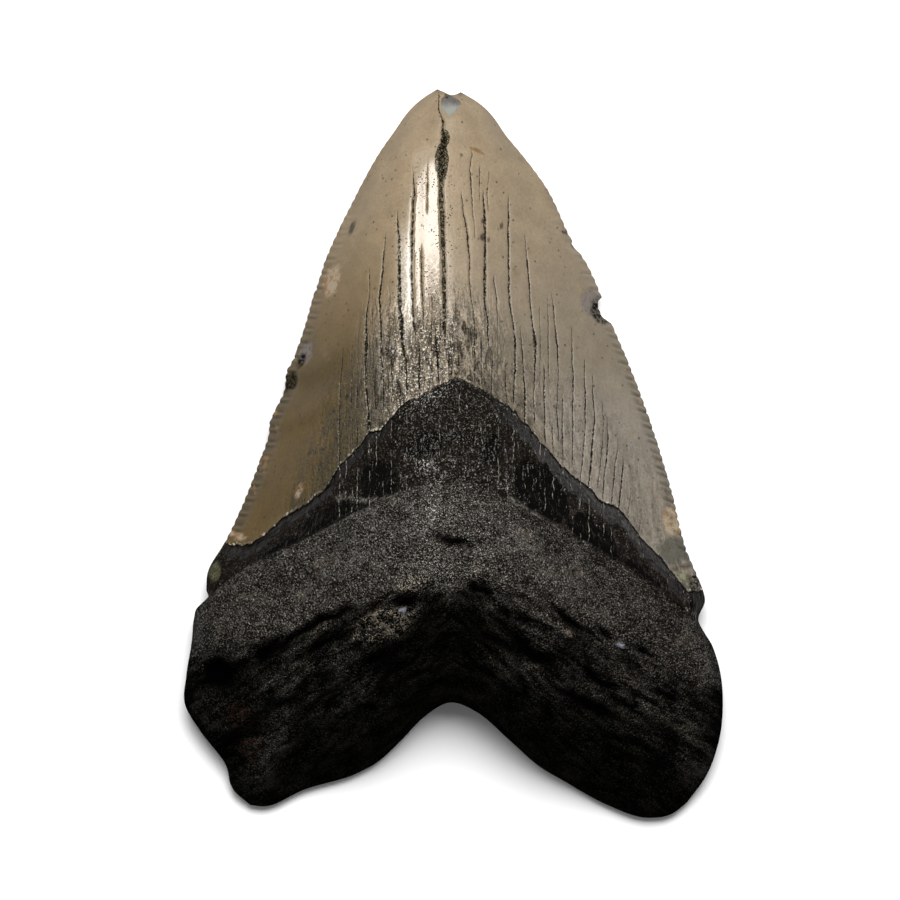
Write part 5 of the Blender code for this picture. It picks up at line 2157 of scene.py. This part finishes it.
@dataclass(frozen=True)
class ToothFinish:
    """The whole tooth's material: the three zones, laid over each other by their masks."""

    name: str = "fossil_tooth"
    enamel: EnamelFinish = EnamelFinish()
    bourlette: BourletteFinish = BourletteFinish()
    root: RootFinish = RootFinish()
    ior: float = 1.62
    dull_specular: float = 0.0
    steep_dulling: float = 0.85
    foot_jags: float = 0.7
    foot_softness: float = 0.06
    reflection: Colour = (1.0, 0.96, 0.895, 1.0)

    def material(self) -> bpy.types.Material:
        """Make the material.

        Returns:
            The tooth's material.
        """
        graph = Graph(self.name)
        above_foot = graph.mask(Mask.FOOT) + self.foot_jags * graph.noise(1.7, 2.0, 0.7).centred()
        root = self.root.layer(graph)
        band = self.bourlette.layer(graph, above_foot)
        crown = self.enamel.layer(graph, above_foot)
        on_band = graph.mask(Mask.BOURLETTE)
        on_crown = above_foot.step(-self.foot_softness, self.foot_softness)
        colour = graph.cover(root.colour, (on_band, band.colour), (on_crown, crown.colour))
        roughness, height, sheen = (
            blend(on_crown, blend(on_band, getattr(root, part), getattr(band, part)), getattr(crown, part))
            for part in ("roughness", "height", "sheen")
        )
        bump = graph.node("ShaderNodeBump", {}, {"Height": height, "Distance": MM, "Strength": 1.0})
        inputs = {"Base Color": colour, "Roughness": roughness, "Normal": bump, "IOR": self.ior}
        inputs["Specular Tint"] = self.reflection
        bright = graph.node("ShaderNodeBsdfPrincipled", {}, inputs)
        inputs["Specular IOR Level"] = self.dull_specular
        dull = graph.node("ShaderNodeBsdfPrincipled", {}, inputs)
        lit = sheen * (1.0 - self.steep_dulling * graph.mask(Mask.STEEP))
        return graph.finished(graph.node("ShaderNodeMixShader", {}, {0: lit, 1: dull, 2: bright}))


# ---- Stage ----


@dataclass(frozen=True)
class SoftBox:
    """A square studio light that points at the tooth."""

    name: str
    azimuth: float
    elevation: float
    distance: float
    size: float
    power: float
    colour: tuple[float, float, float] = (1.0, 1.0, 1.0)
    target: tuple[float, float, float] = (0.0, 0.0, 0.01)

    def build(self) -> None:
        """Add the light."""
        data = bpy.data.lights.new(self.name, "AREA")
        data.shape = "SQUARE"
        data.size = self.size
        data.energy = self.power
        data.color = self.colour
        light = add_object(self.name, data)
        turn = math.radians(self.azimuth)
        rise = math.radians(self.elevation)
        away = Vector((math.sin(turn) * math.cos(rise), math.cos(turn) * math.cos(rise), math.sin(rise)))
        light.location = Vector(self.target) + away * self.distance
        light.rotation_euler = away.to_track_quat("Z", "Y").to_euler()


@dataclass(frozen=True)
class Studio:
    """The pale floor, the soft lights and the camera above the tooth."""

    floor_size: float = 3.0
    floor_colour: Colour = (0.92, 0.92, 0.92, 1.0)
    floor_roughness: float = 0.9
    world_strength: float = 0.23
    millimetres_per_pixel: float = 0.14
    picture_pixels: int = 900
    camera_height: float = 1.0
    camera_reach: float = 20.0
    outline_height: float = 0.0045
    centre_x: float = -0.00049
    centre_y: float = 0.00063
    sensor: float = 36.0
    lights: tuple[SoftBox, ...] = (
        SoftBox("key_light", azimuth=5.0, elevation=64.0, distance=0.7, size=0.40, power=8.2),
    )

    def floor(self) -> bpy.types.Object:
        """Add the floor.

        Returns:
            The floor.
        """
        mesh = bmesh.new()
        bmesh.ops.create_grid(mesh, x_segments=1, y_segments=1, size=0.5 * self.floor_size)
        data = bpy.data.meshes.new("floor")
        mesh.to_mesh(data)
        mesh.free()
        graph = Graph("floor_paper")
        inputs = {"Base Color": self.floor_colour, "Roughness": self.floor_roughness}
        data.materials.append(graph.finished(graph.node("ShaderNodeBsdfPrincipled", {}, inputs)))
        return add_object("floor", data)

    def camera(self) -> None:
        """Add the camera, straight above the tooth with the tip at the top."""
        data = bpy.data.cameras.new("camera")
        view_width = self.picture_pixels * self.millimetres_per_pixel * MM
        data.sensor_width = self.sensor
        data.lens = self.sensor * (self.camera_height - self.outline_height) / view_width
        data.clip_end = self.camera_reach
        camera = add_object("camera", data)
        camera.location = (self.centre_x, self.centre_y, self.camera_height)
        bpy.context.scene.camera = camera

    def build(self) -> None:
        """Set the whole stage."""
        self.floor()
        for light in self.lights:
            light.build()
        self.camera()
        world = bpy.data.worlds.new("studio")
        world.use_nodes = True
        background = world.node_tree.nodes["Background"]
        background.inputs["Color"].default_value = (1.0, 1.0, 1.0, 1.0)
        background.inputs["Strength"].default_value = self.world_strength
        bpy.context.scene.world = world
        bpy.context.scene.view_settings.view_transform = "Standard"


def main() -> None:
    """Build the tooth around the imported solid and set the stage."""
    logging.basicConfig(level=logging.INFO, format="%(name)s: %(message)s")
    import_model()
    tooth = ToothBuilder().build()
    tooth.data.materials.append(ToothFinish().material())
    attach(tooth, "root")
    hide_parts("tooth")
    Studio().build()


if __name__ == "__main__":
    main()
